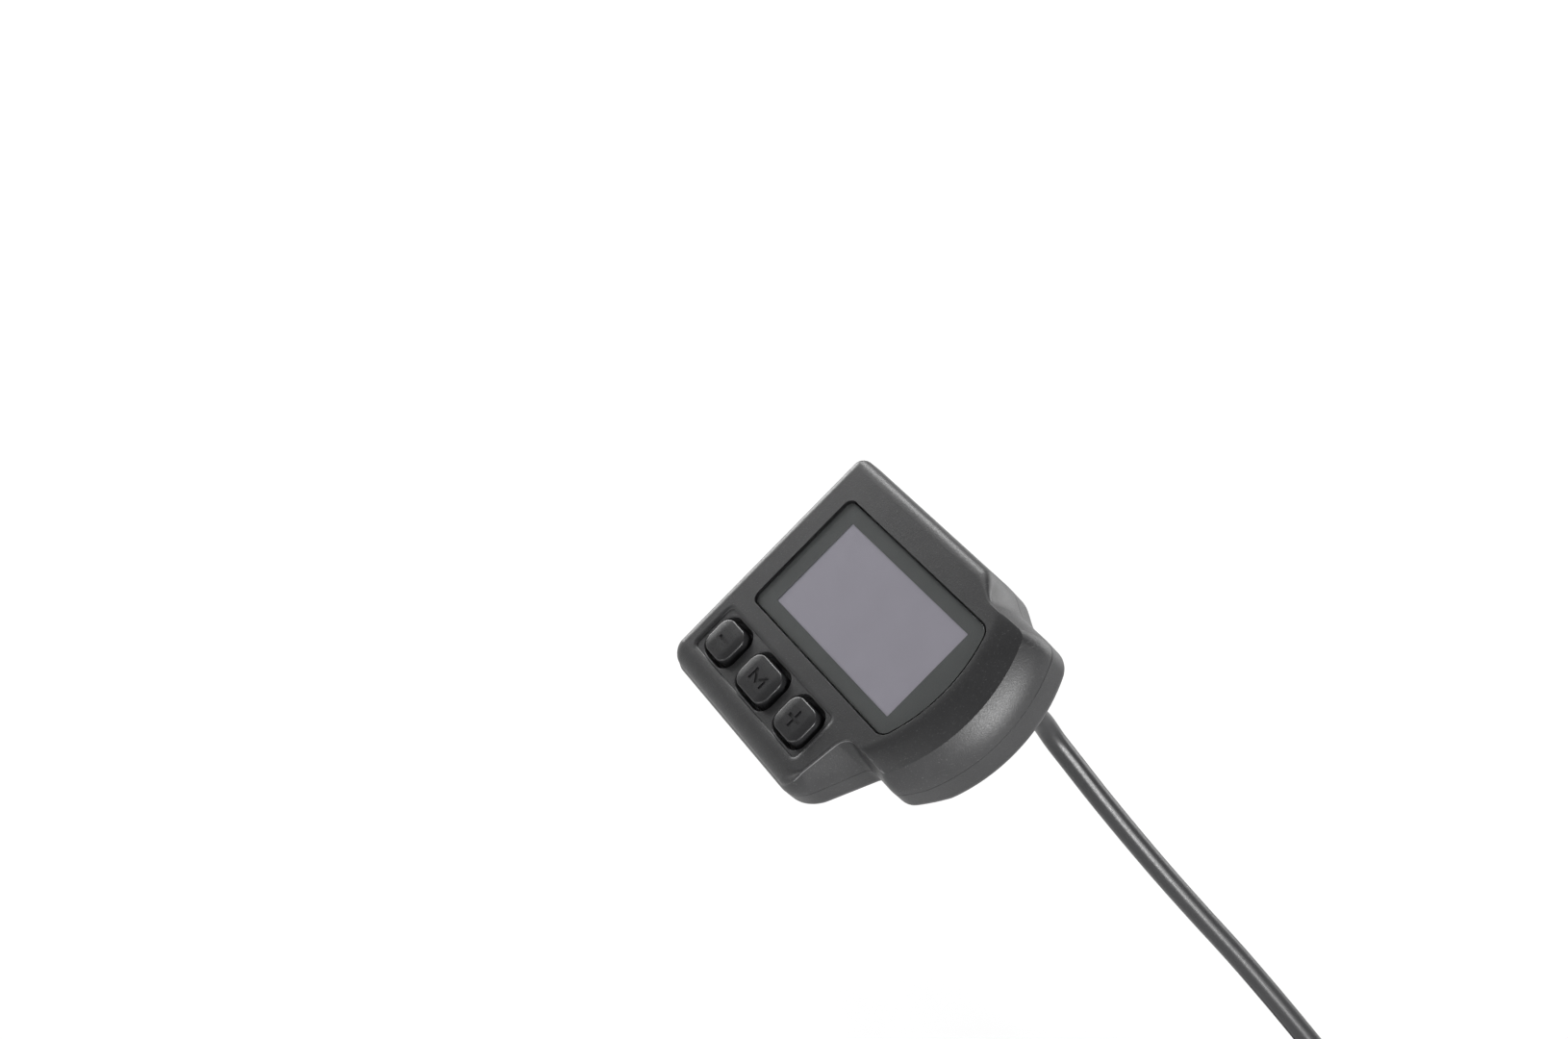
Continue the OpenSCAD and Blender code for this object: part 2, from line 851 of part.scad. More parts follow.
module keypad_mat() {
    left = keys[0].x - keys[0].y / 2 - mat_over;
    right = keys[2].x + keys[2].y / 2 + mat_over;
    color([0.3, 0.3, 0.32])
        on_head()
            difference() {
                between(mat_top, mat_top + mat_t)
                    translate([(left + right) / 2, key_y])
                        rounded(right - left, key_h + mat_over, key_r);
                for (k = keys)
                    translate([k.x, key_y, -mat_top - mat_t - cut])
                        cylinder(r = post_key_r + mat_hole_gap, h = mat_t + 2 * cut);
            }
}

module key_switches() {
    color([0.12, 0.12, 0.13])
        on_head()
            for (k = keys)
                translate([k.x, key_y, 0])
                    difference() {
                        between(switch_top, board_top)
                            square(switch_w, center = true);
                        translate([0, 0, -board_top + switch_floor])
                            cylinder(r = stem_r + run, h = switch_t);
                    }
}

// One key: its cap, the flange that keeps it in and the post that reaches the switch
module button(k) {
    w = k.y;
    levels = [
        [w / 2 - key_edge, key_h / 2 - key_edge, 0, key_r - key_edge],
        [w / 2, key_h / 2, key_edge, key_r],
        [w / 2 + key_spread, key_h / 2 + key_spread_up, key_foot, key_r],
        [w / 2 + key_spread, key_h / 2 + key_spread_up, flange_top, key_r]
    ];
    rings = [
        for (l = levels) [
            for (c = [[1, 1, 0], [-1, 1, 90], [-1, -1, 180], [1, -1, 270]])
                for (i = [0:corner_steps])
                    let (a = c.z + 90 * i / corner_steps, r = l[3])
                    [c.x * (l[0] - r) + r * cos(a), c.y * (l[1] - r) + r * sin(a), -l[2]]
        ]
    ];
    on_head()
        translate([k.x, key_y, 0]) {
            loft(rings, [0, 0, 0], [0, 0, -flange_top]);
            between(flange_top, flange_top + flange_t)
                rounded(w + 2 * (key_spread + key_gap) + 2 * flange_over,
                    key_h + 2 * (key_spread_up + key_gap) + 2 * flange_over_up, key_r);
            translate([0, 0, -stem_top])
                cylinder(r = post_key_r, h = stem_top - flange_top - flange_t / 2);
        }
}

module button_minus() {
    color([0.2, 0.2, 0.21])
        button(keys[0]);
}

module button_mode() {
    color([0.2, 0.2, 0.21])
        button(keys[1]);
}

module button_plus() {
    color([0.2, 0.2, 0.21])
        button(keys[2]);
}

// The moving stem of one switch
module stem(k) {
    low = switch_top + stem_up - sit;
    color([0.75, 0.2, 0.15])
        on_head()
            translate([k.x, key_y, -low])
                cylinder(r = stem_r, h = low - stem_top);
}

module switch_stem_minus() {
    stem(keys[0]);
}

module switch_stem_mode() {
    stem(keys[1]);
}

module switch_stem_plus() {
    stem(keys[2]);
}

// The clamp is a split ring with a saddle on top and two ears below. Its profiles are drawn as
// [up the face, height] round the bar.
module clamp_ring() {
    out = ring_r + clamp_t;
    side = ring_r + clamp_t / 2;
    top = bar_behind - head_t;
    reach = out + ear_l;
    half = clamp_w / 2;
    color([0.12, 0.12, 0.13])
        on_head()
            translate([-clamp_left, -bar_below, -bar_behind])
                difference() {
                    union() {
                        across(-half, half)
                            circle(r = out, $fn = 96);
                        across(-half, half)
                            polygon([
                                [-saddle_w / 2, top], [saddle_w / 2, top],
                                [side * cos(saddle_lean), side * sin(saddle_lean)],
                                [-side * cos(saddle_lean), side * sin(saddle_lean)]
                            ]);
                        across(-half, half)
                            translate([-slit / 2 - ear_t, -reach])
                                square([slit + 2 * ear_t, reach]);
                    }
                    across(-far, far)
                        circle(r = ring_r, $fn = 96);
                    across(-far, far)
                        translate([-slit / 2, -reach - cut])
                            square([slit, reach + cut]);
                    across(-far, far)
                        translate([-far, top])
                            square([2 * far, far]);
                    ear_screw_holes();
                    for (s = [-1, 1])
                        translate([s * bracket_step, 0, ring_r - cut]) {
                            cylinder(r = bracket_r + sit, h = clamp_t + 2 * cut);
                            cylinder(r = bracket_head_r + sit, h = cut + bracket_head_t);
                        }
                }
}

// The place of the clamp's screw across the ears
module on_ears() {
    translate([0, 0, -ring_r - clamp_t - clamp_screw_out])
        rotate([90, 0, 0])
            children();
}

module ear_screw_holes() {
    half = slit / 2 + ear_t;
    on_ears() {
        cylinder(r = clamp_screw_r + sit, h = 2 * half + 2 * cut, center = true);
        translate([0, 0, half - clamp_head_sunk])
            cylinder(r = clamp_head_r + sit, h = cut + clamp_head_sunk);
        translate([0, 0, -half - cut])
            cylinder(d = (nut_flats + 2 * sit) / cos(30), h = cut + nut_t - cut / 2, $fn = 6);
    }
}

module clamp_liner() {
    color([0.08, 0.08, 0.08])
        on_head()
            translate([-clamp_left, -bar_below, -bar_behind])
                across(-clamp_w / 2, clamp_w / 2)
                    difference() {
                        circle(r = ring_r - run, $fn = 96);
                        circle(r = bar_r + run, $fn = 96);
                        translate([-slit / 2 - liner_lip, -far])
                            square([slit + 2 * liner_lip, far]);
                    }
}

module clamp_screw() {
    half = slit / 2 + ear_t;
    color([0.6, 0.6, 0.62])
        on_head()
            translate([-clamp_left, -bar_below, -bar_behind])
                on_ears()
                    difference() {
                        union() {
                            translate([0, 0, -half])
                                cylinder(r = clamp_screw_r,
                                    h = 2 * half - clamp_head_sunk);
                            translate([0, 0, half - clamp_head_sunk])
                                cylinder(r = clamp_head_r, h = clamp_head_t);
                        }
                        translate([0, 0, half - clamp_head_sunk + clamp_head_t
                            - clamp_head_t * drive_share])
                            cylinder(r = clamp_screw_r * drive_share * 2 - sit,
                                h = clamp_head_t, $fn = 6);
                    }
}

module clamp_nut() {
    half = slit / 2 + ear_t;
    color([0.72, 0.72, 0.74])
        on_head()
            translate([-clamp_left, -bar_below, -bar_behind])
                on_ears()
                    translate([0, 0, -half])
                        difference() {
                            cylinder(d = nut_flats / cos(30), h = nut_t - cut / 2 - run,
                                $fn = 6);
                            translate([0, 0, -cut])
                                cylinder(r = clamp_screw_r + run, h = nut_t + 2 * cut);
                        }
}

module bracket_screws() {
    color([0.55, 0.55, 0.57])
        on_head()
            for (s = [-1, 1])
                translate([-clamp_left + s * bracket_step, -bar_below,
                    -bar_behind + ring_r]) {
                    cylinder(r = bracket_head_r, h = bracket_head_t);
                    cylinder(r = bracket_r,
                        h = bar_behind - ring_r - head_t + bracket_in - screw_end_gap);
                }
}

// The gland is turned: a flange inside the cover, a neck in its hole, a collar and a tapered sleeve
module cable_gland() {
    sleeve = gland_l - gland_collar_t;
    out = gland_hole_r;
    function r_at(z) = mix(out, gland_tip_r, z / sleeve);
    color([0.07, 0.07, 0.07])
        on_head()
            translate([gland_x, gland_y, -head_t])
                rotate_extrude()
                    polygon(concat(
                        [[0, wall + gland_flange_t], [gland_flange_r, wall + gland_flange_t],
                         [gland_flange_r, wall], [gland_hole_r, wall], [gland_hole_r, 0],
                         [gland_collar_r, 0], [gland_collar_r, -gland_collar_t / 2],
                         [out, -gland_collar_t]],
                        [for (i = [1:gland_ribs])
                            let (
                                z = sleeve * i / (gland_ribs + 1),
                                half = gland_rib_w / 2,
                                in_r = r_at(z) - gland_rib_w
                            )
                            each [
                                [r_at(z - half), -gland_collar_t - z + half],
                                [in_r, -gland_collar_t - z + half],
                                [in_r, -gland_collar_t - z - half],
                                [r_at(z + half), -gland_collar_t - z - half]
                            ]],
                        [[gland_tip_r, -gland_l], [0, -gland_l]]
                    ));
}

// The coil's own directions: along the lead's heading, its axis, and up
coil_u = [cos(heading), sin(heading), 0];
coil_axis = [-sin(heading), cos(heading), 0];
up = [0, 0, 1];
coil_start = 90 - dive;
lead_in = cable_d * (coil_u * cos(dive) - up * sin(dive));
coil_mid = route_end + lead_in - coil_r * (coil_u * cos(coil_start) + up * sin(coil_start));
function coil_radius(t) = coil_r - coil_pitch * min(t, wind - t);
// The coil climbs from its first layer to its second in the half turn where the spiral reverses
function coil_layer(t) = coil_pitch * smooth(share01((t - wind / 2) * 2 + 1 / 2));
function coil_point(t) =
    let (a = coil_start - 360 * t)
    coil_mid + coil_radius(t) * (coil_u * cos(a) + up * sin(a)) + coil_axis * coil_layer(t);
coil_count = ceil(wind * coil_rings);
coil_out = coil_point(wind);
coil_path = concat(
    [route_end],
    [for (i = [0:coil_count]) coil_point(wind * i / coil_count)],
    [coil_out - up * coil_tail]
);

// The least gap between turns of the coil, from each point to each stretch of another turn
function off_stretch(p, a, b) =
    norm(p - a - (b - a) * share01((p - a) * (b - a) / pow(norm(b - a), 2)));
least_gap = min([
    for (i = [0:len(coil_path) - 2])
        for (j = [i + coil_rings / 2:len(coil_path) - 2])
            min(off_stretch(coil_path[i], coil_path[j], coil_path[j + 1]),
                off_stretch(coil_path[j + 1], coil_path[i], coil_path[i + 1]))
]) - cable_d;
function run_of(path) =
    [for (i = [1:len(path) - 1]) norm(path[i] - path[i - 1])] * [for (i = [1:len(path) - 1]) 1];
echo(coil_least_gap_mm = least_gap, lead_length_mm = run_of(route) + run_of(coil_path));

// The rings of a round tube along a path. Its sides are set out from one fixed direction.
function ahead(path, i) = unit(path[min(i + 1, len(path) - 1)] - path[max(i - 1, 0)]);
function tube_ring(path, i, r, sides, t) =
    let (side = unit(cross(t, coil_axis)), other = cross(side, t))
    [for (k = [0:sides - 1])
        path[i] + r * (side * cos(360 * k / sides) + other * sin(360 * k / sides))];

module tube(path, r, sides, first, last) {
    n = len(path);
    loft([
        for (i = [0:n - 1])
            tube_ring(path, i, r, sides, i == 0 ? first : i == n - 1 ? last : ahead(path, i))
    ], path[0], path[n - 1]);
}

module display_cable() {
    color([0.05, 0.05, 0.05])
        tube(route, cable_d / 2, cable_sides, [0, sin(tilt), -cos(tilt)], unit(lead_in));
}

module cable_coil() {
    color([0.05, 0.05, 0.05])
        tube(coil_path, cable_d / 2, coil_sides, unit(lead_in), -up);
}

// A strap round the turns on the side away from the lead
module cable_tie() {
    passes = [for (k = [1:coil_turns]) coil_radius((coil_start - tie_angle) / 360 + k)];
    inner = min(passes) - cable_d / 2 - tie_gap;
    outer = max(passes) + cable_d / 2 + tie_gap;
    low = -cable_d / 2 - tie_gap;
    high = coil_pitch + cable_d / 2 + tie_gap;
    color([0.1, 0.1, 0.1])
        translate(coil_mid)
            rotate([0, 0, heading])
                rotate([0, -tie_angle, 0])
                    translate([(inner + outer) / 2, (low + high) / 2, 0])
                        linear_extrude(tie_w, center = true)
                            difference() {
                                rounded(outer - inner + 2 * tie_t, high - low + 2 * tie_t,
                                    tie_t);
                                square([outer - inner, high - low], center = true);
                            }
}

// The plug hangs from the coil's tail and is drawn downwards from where the lead enters it
module on_tail() {
    translate(coil_out - up * coil_tail)
        rotate([180, 0, 0])
            children();
}

module plug_body() {
    r = plug_d / 2;
    nose = plug_nose_d / 2;
    boot = cable_d / 2 + gland_tip_wall;
    full = plug_boot_l + plug_l;
    color([0.06, 0.06, 0.06])
        on_tail()
            rotate_extrude()
                polygon([
                    [0, 0], [boot, 0], [r, plug_boot_l], [r, full],
                    [r + plug_collar_over, full], [r + plug_collar_over, full + plug_collar_l],
                    [nose, full + plug_collar_l],
                    [nose, full + plug_collar_l + plug_nose_l],
                    [nose - plug_wall, full + plug_collar_l + plug_nose_l],
                    [nose - plug_wall, full + plug_collar_l + plug_nose_l - plug_socket],
                    [0, full + plug_collar_l + plug_nose_l - plug_socket]
                ]);
}

module plug_insert() {
    floor_z = plug_boot_l + plug_l + plug_collar_l + plug_nose_l - plug_socket;
    color([0.15, 0.4, 0.2])
        on_tail()
            translate([0, 0, floor_z])
                difference() {
                    cylinder(r = plug_nose_d / 2 - plug_wall - sit, h = insert_t);
                    for (i = [0:pins - 1])
                        rotate(360 * i / pins)
                            translate([pin_ring_r, 0, -cut])
                                cylinder(r = pin_r + run, h = insert_t + 2 * cut, $fn = 24);
                }
}

module plug_pins() {
    floor_z = plug_boot_l + plug_l + plug_collar_l + plug_nose_l - plug_socket;
    color([0.8, 0.66, 0.25])
        on_tail()
            translate([0, 0, floor_z])
                for (i = [0:pins - 1])
                    rotate(360 * i / pins)
                        translate([pin_ring_r, 0, 0])
                            cylinder(r = pin_r, h = pin_out, $fn = 24);
}

front_cover();
rear_cover();
housing_gasket();
lens();
lens_tape();
screen_foam();
lcd_panel();
lcd_backlight();
lcd_flex();
main_board();
board_chips();
board_connector();
lead_wires();
board_screws();
housing_screws();
keypad_mat();
key_switches();
button_minus();
button_mode();
button_plus();
switch_stem_minus();
switch_stem_mode();
switch_stem_plus();
clamp_ring();
clamp_liner();
clamp_screw();
clamp_nut();
bracket_screws();
cable_gland();
display_cable();
cable_coil();
cable_tie();
plug_body();
plug_insert();
plug_pins();
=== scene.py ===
import math

import bpy
import bmesh
from mathutils import Matrix, Vector
from mathutils.kdtree import KDTree


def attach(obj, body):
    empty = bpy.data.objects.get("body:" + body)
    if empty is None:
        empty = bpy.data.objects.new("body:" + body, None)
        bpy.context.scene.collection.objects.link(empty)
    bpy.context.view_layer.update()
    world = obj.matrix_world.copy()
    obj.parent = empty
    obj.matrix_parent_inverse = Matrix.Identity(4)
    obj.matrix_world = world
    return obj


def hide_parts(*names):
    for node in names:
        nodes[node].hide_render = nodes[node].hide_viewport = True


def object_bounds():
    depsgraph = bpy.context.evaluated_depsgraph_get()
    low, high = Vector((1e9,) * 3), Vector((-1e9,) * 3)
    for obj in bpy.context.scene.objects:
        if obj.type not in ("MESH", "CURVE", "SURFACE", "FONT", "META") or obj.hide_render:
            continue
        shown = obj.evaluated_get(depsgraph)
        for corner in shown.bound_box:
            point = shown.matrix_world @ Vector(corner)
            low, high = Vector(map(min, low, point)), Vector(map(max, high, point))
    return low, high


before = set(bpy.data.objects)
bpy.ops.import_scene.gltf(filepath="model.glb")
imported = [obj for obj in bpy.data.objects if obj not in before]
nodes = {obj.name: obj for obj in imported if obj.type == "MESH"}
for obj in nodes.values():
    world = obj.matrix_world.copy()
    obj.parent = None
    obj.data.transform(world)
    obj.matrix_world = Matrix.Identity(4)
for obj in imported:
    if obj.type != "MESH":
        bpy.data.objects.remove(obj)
cad_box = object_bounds()
MM = 0.001

# Camera
scene = bpy.context.scene
scene.view_settings.view_transform = "Standard"
CAMERA_AT = Vector((260.37, -159.26, 240.37))
CAMERA_RIGHT = Vector((0.48537, 0.87430, 0.0))
CAMERA_FORWARD = Vector((-0.72547, 0.40274, -0.55813))
PICTURE_W, LOWER_BY = 1630, 3.5


def camera():
    """The photograph's camera. The object lies a few pixels lower than there, which keeps the coil out."""
    data = bpy.data.cameras.new("camera")
    data.lens = 50
    data.sensor_width = 36
    data.shift_y = LOWER_BY / PICTURE_W
    data.clip_start = 0.01
    data.clip_end = 20
    obj = bpy.data.objects.new("camera", data)
    scene.collection.objects.link(obj)
    forward = CAMERA_FORWARD.copy()
    right = (CAMERA_RIGHT - forward * CAMERA_RIGHT.dot(forward) / forward.length_squared).normalized()
    forward.normalize()
    turn = Matrix((right, right.cross(forward), -forward)).transposed()
    obj.matrix_world = Matrix.Translation(CAMERA_AT * MM) @ turn.to_4x4()
    scene.camera = obj


camera()

# Places on the head, in its own millimetres: x to the right, y up the face, and depth behind the face
TILT = math.radians(36.7)
CLAMP_LEFT, BAR_BELOW, BAR_BEHIND = 16.5, 11.0, 28.0
HEAD_T, GLAND, GLAND_L = 13.8, (18.3, 7.6), 11.0
HEAD = (Matrix.Scale(MM, 4) @ Matrix.Rotation(TILT, 4, "X")
        @ Matrix.Translation((CLAMP_LEFT, BAR_BELOW, BAR_BEHIND)))
OUT = Vector((0, -math.sin(TILT), math.cos(TILT)))

# Lead, in millimetres from the middle of the clamp
CABLE_D = 3.8
route = [HEAD @ Vector((GLAND[0], GLAND[1], -HEAD_T - GLAND_L)) / MM] + [Vector(p) for p in [
    (34.8, 15.3, 10.5), (35.9, 17.2, 6.9), (38.6, 19.3, 3.0), (42.6, 22.2, -2.4),
    (47.2, 26.0, -9.0), (52.0, 30.1, -15.8), (57.0, 34.7, -23.0), (62.2, 39.7, -30.6),
    (67.6, 44.5, -38.4), (72.9, 49.1, -46.2), (77.9, 53.3, -53.6), (82.5, 57.2, -60.4)]]
COIL_R, COIL_TURNS, COIL_TAIL, COIL_GAP = 23.5, 3, 8.0, 0.5
COIL_PITCH = CABLE_D + COIL_GAP
ROUTE_STEPS, COIL_STEPS, TAIL_STEPS = 6, 200, 4
end = route[-1]
last = end - route[-2]
heading = math.atan2(last.y, last.x)
dive = -math.atan2(last.z, math.hypot(last.x, last.y))
coil_u = Vector((math.cos(heading), math.sin(heading), 0))
coil_axis = Vector((-math.sin(heading), math.cos(heading), 0))
up = Vector((0, 0, 1))
coil_start = math.pi / 2 - dive
wind = COIL_TURNS + coil_start / (2 * math.pi)
lead_in = CABLE_D * (coil_u * math.cos(dive) - up * math.sin(dive))
coil_mid = end + lead_in - COIL_R * (coil_u * math.cos(coil_start) + up * math.sin(coil_start))


def coil_point(t):
    """The coil after t turns. It winds inwards, crosses over to its second layer and winds out again."""
    r = COIL_R - COIL_PITCH * min(t, wind - t)
    k = min(1, max(0, (t - wind / 2) * 2 + 0.5))
    a = coil_start - 2 * math.pi * t
    return (coil_mid + r * (coil_u * math.cos(a) + up * math.sin(a))
            + coil_axis * COIL_PITCH * k * k * (3 - 2 * k))


def through(points, steps, first, final):
    """A smooth line through points, with set directions at its ends."""
    n = len(points)
    slopes = []
    for i in range(n):
        a = points[max(0, i - 1)]
        b = points[min(n - 1, i + 1)]
        slopes.append((b - a) / (2 if 0 < i < n - 1 else 1))
    slopes[0] = first * (points[1] - points[0]).length
    slopes[-1] = final * (points[-1] - points[-2]).length
    out = []
    for i in range(n - 1):
        for k in range(steps):
            t = k / steps
            h = (2 * t**3 - 3 * t**2 + 1, t**3 - 2 * t**2 + t, -2 * t**3 + 3 * t**2, t**3 - t**2)
            out.append(points[i] * h[0] + slopes[i] * h[1] + points[i + 1] * h[2] + slopes[i + 1] * h[3])
    return out + [points[-1]]


def cord(name, points, diameter):
    """A round cord along points in millimetres."""
    curve = bpy.data.curves.new(name, "CURVE")
    curve.dimensions = "3D"
    curve.bevel_depth = 1
    curve.bevel_resolution = 5
    curve.use_fill_caps = True
    spline = curve.splines.new("POLY")
    spline.points.add(len(points) - 1)
    for p, q in zip(spline.points, points):
        p.co = (*(q * MM), 1)
        p.radius = diameter / 2 * MM
    spline.use_smooth = True
    obj = bpy.data.objects.new(name, curve)
    scene.collection.objects.link(obj)
    return obj


coil_out = coil_point(wind)
lead_points = through(route, ROUTE_STEPS, -OUT, lead_in.normalized())
lead_points += [coil_point(wind * i / COIL_STEPS) for i in range(COIL_STEPS + 1)]
lead_points += [coil_out - up * COIL_TAIL * k / TAIL_STEPS for k in range(1, TAIL_STEPS + 1)]

lead = cord("lead", lead_points, CABLE_D)
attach(lead, "display")
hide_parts("display_cable", "cable_coil")

# Outline of the head: its edges about the screen's middle, its right end's arc, and its least thickness
LEFT, RIGHT, END_R, TOP, TOP_LOW = 29.6, 31.3, 28.0, 19.3, 17.1
LOW, BOTTOM, FOOT_X, HEAD_T_LOW = 17.0, 29.6, 14.6, 8.6

# The seam's depth at the screen and at the lower edge, the rolled edge, the skirt and the band above it
SEAM, SEAM_LOW, FACE_T, ROLL, SKIRT = 7.6, 3.6, 2.3, 2.4, 2.35
BAND, BAND_DROP, BAND_POWER, SKIRT_POWER = 5.6, 1.35, 1.4, 1.7

# Corners, the notch beside the keys, and how far the skirt's upper edge lies in from the seam
CORNER_R, TOP_CORNER_R, FOOT_R, LEAST_R = 3.8, 2.5, 5.2, 0.3
LEAN_SEAM, LEAN_FACE = math.radians(18.3), math.radians(8.8)
NOTCH_X, NOTCH_R, LOW_R, HIGH_R = 18.4, 1.5, 2.6, 4.3
SKIRT_TOP, SKIRT_LOW, SKIRT_FOOT, NOTCH_SLIDE, NOTCH_MORE = 1.85, 1.2, 1.4, 1.4, 1.3

# The right and left end of the bend in the top edge, then the back's edge and the knees of seam and back
BEND_SEAM, BEND_FACE = (18.0, 10.8), (17.0, 10.0)
RIM_SHARE, DRAFT, CREASE, BACK_R = 1.45, 0.35, 0.4, 2.2
SEAM_KNEE, BACK_KNEE = -13.0, -11.0
BOW_X, BOW_UP = RIGHT - END_R, 0.8
KEY_LEVEL, KEY_FADE = 22.0, 5.0

# Steps of the arcs and rings, and of the straight stretch before each part of the outline
ARC_STEPS, END_STEPS, BEND_STEPS, EDGE_STEPS, SKIRT_STEPS, BACK_STEPS = 12, 48, 24, 9, 8, 8
STRAIGHT_STEPS = (12, 4, 3, 0, 0, 0, 8, 0)
LEFT_STOPS = (11, 6, 1, -3, -8, BACK_KNEE, SEAM_KNEE, -16, -19, -22)


def mix(a, b, t):
    return a + (b - a) * t


def smooth(t):
    return t * t * (3 - 2 * t)


def arc(cx, cy, rx, ry, a0, a1, steps, s0, s1):
    """Points of an arc, each with its share of crispness, from s0 to s1."""
    return [(cx + rx * math.cos(mix(a0, a1, i / steps)), cy + ry * math.sin(mix(a0, a1, i / steps)),
             mix(s0, s1, i / steps)) for i in range(steps + 1)]


def between(a, b, steps):
    """Points inside the straight stretch from a to b."""
    return [tuple(mix(a[j], b[j], k / steps) for j in range(3)) for k in range(1, steps)]


def outline(soft, crisp, rise=0.0, slide=0.0):
    """The head's outline, moved in by soft on its rolled left part and by crisp on its creased right part.

    Rise is 0 at the seam and 1 at the face, and slide moves the right end's arc to the left. Each point
    has x, y and its share of crispness.
    """
    pi = math.pi
    rim = soft * RIM_SHARE
    left_r, rim_r = max(LEAST_R, CORNER_R - soft), max(LEAST_R, CORNER_R - rim)
    foot = crisp + SKIRT_FOOT * rise
    end_foot_r, rim_foot_r = max(LEAST_R, FOOT_R - foot), max(LEAST_R, FOOT_R - rim)
    lean = mix(LEAN_SEAM, LEAN_FACE, rise)
    low, high = crisp + SKIRT_LOW * rise, crisp + SKIRT_TOP * rise
    low_r, high_r = max(LEAST_R, LOW_R - low), max(LEAST_R, HIGH_R - high)
    r = END_R - crisp
    mid, mid_up = BOW_X - slide, BOW_UP * (1 - rise)
    low_y, high_y = -LOW + low + low_r, TOP_LOW - high - high_r
    low_x = mid + math.sqrt((r - low_r)**2 - (low_y - mid_up)**2)
    high_x = mid + math.sqrt((r - high_r)**2 - (high_y - mid_up)**2)
    low_a, high_a = math.atan2(low_y - mid_up, low_x - mid), math.atan2(high_y - mid_up, high_x - mid)
    bend_right, bend_left = (mix(a, b, rise) for a, b in zip(BEND_SEAM, BEND_FACE))
    top_r = max(LEAST_R, TOP_CORNER_R - soft)
    parts = [
        arc(-LEFT + soft + left_r, -BOTTOM + rim + rim_r, left_r, rim_r, pi, 1.5 * pi, ARC_STEPS, 0, 0),
        arc(FOOT_X - foot - end_foot_r, -BOTTOM + rim + rim_foot_r, end_foot_r, rim_foot_r,
            1.5 * pi, 2 * pi - lean, ARC_STEPS, 0, 1),
        arc(NOTCH_X - NOTCH_SLIDE * rise, -LOW - NOTCH_R, NOTCH_R + crisp + NOTCH_MORE * rise, NOTCH_R + low,
            pi - lean, pi / 2, ARC_STEPS, 1, 1),
        arc(low_x, low_y, low_r, low_r, -pi / 2, low_a, ARC_STEPS, 1, 1),
        arc(mid, mid_up, r, r, low_a, high_a, END_STEPS, 1, 1)[1:-1],
        arc(high_x, high_y, high_r, high_r, high_a, pi / 2, ARC_STEPS, 1, 1),
        [(mix(bend_right, bend_left, t), mix(TOP_LOW - high, TOP - soft, smooth(t)), 1 - smooth(t))
         for t in (k / BEND_STEPS for k in range(BEND_STEPS + 1))],
        arc(-LEFT + soft + top_r, TOP - soft - top_r, top_r, top_r, pi / 2, pi, ARC_STEPS, 0, 0),
        [(-LEFT + soft, y, 0) for y in LEFT_STOPS],
    ]
    pts = list(parts[0])
    for steps, part in zip(STRAIGHT_STEPS, parts[1:]):
        pts += between(pts[-1], part[0], steps) + part
    return pts


def face_drop(x, y):
    """How far the face falls towards the curved end. It stays level beside the keys."""
    edge_x = BOW_X - SKIRT + math.sqrt(max(0, END_R**2 - y * y))
    share = smooth(min(1, max(0, (y + KEY_LEVEL) / KEY_FADE)))
    return BAND_DROP * share * min(1, max(0, 1 - (edge_x - x) / BAND))**BAND_POWER


def seam_at(y):
    """The seam's depth, which grows less towards the lower edge."""
    return SEAM - (SEAM - SEAM_LOW) * max(0, SEAM_KNEE - y) / (BOTTOM + SEAM_KNEE)


def back_at(y):
    """The back's depth, which grows less towards the lower edge."""
    return HEAD_T - (HEAD_T - HEAD_T_LOW) * max(0, BACK_KNEE - y) / (BOTTOM + BACK_KNEE)


# Mesh helpers, in the head's own millimetres
LIP_STEPS, PAINT_STEPS, CORNER_STEPS, CIRCLE_STEPS = 5, 16, 8, 48
WELD, SLIVER, ON_LINE, SAME_POINT = 0.002, 0.001, 0.02, 0.0001
SMOOTH_ANGLE, NORMAL_WEIGHT = 32, 60


def new_object(name, verts, faces):
    """An object whose faces all point outwards."""
    mesh = bpy.data.meshes.new(name)
    mesh.from_pydata(verts, [], faces)
    mesh.validate()
    bm = bmesh.new()
    bm.from_mesh(mesh)
    bmesh.ops.recalc_face_normals(bm, faces=bm.faces)
    bm.to_mesh(mesh)
    bm.free()
    obj = bpy.data.objects.new(name, mesh)
    scene.collection.objects.link(obj)
    return obj


def lofted(name, rings, top=None, bottom=None):
    """A closed solid through rings of points, each end closed by one face or by a fan."""
    n = len(rings[0])
    verts = [p for ring in rings for p in ring]
    faces = []
    for j in range(len(rings) - 1):
        for i in range(n):
            k = (i + 1) % n
            faces.append((j * n + i, j * n + k, (j + 1) * n + k, (j + 1) * n + i))
    base = (len(rings) - 1) * n
    for point, start in ((top, 0), (bottom, base)):
        if point is None:
            faces.append(tuple(start + i for i in range(n)))
        else:
            verts.append(point)
            c = len(verts) - 1
            faces += [(c, start + i, start + (i + 1) % n) for i in range(n)]
    return new_object(name, verts, faces)


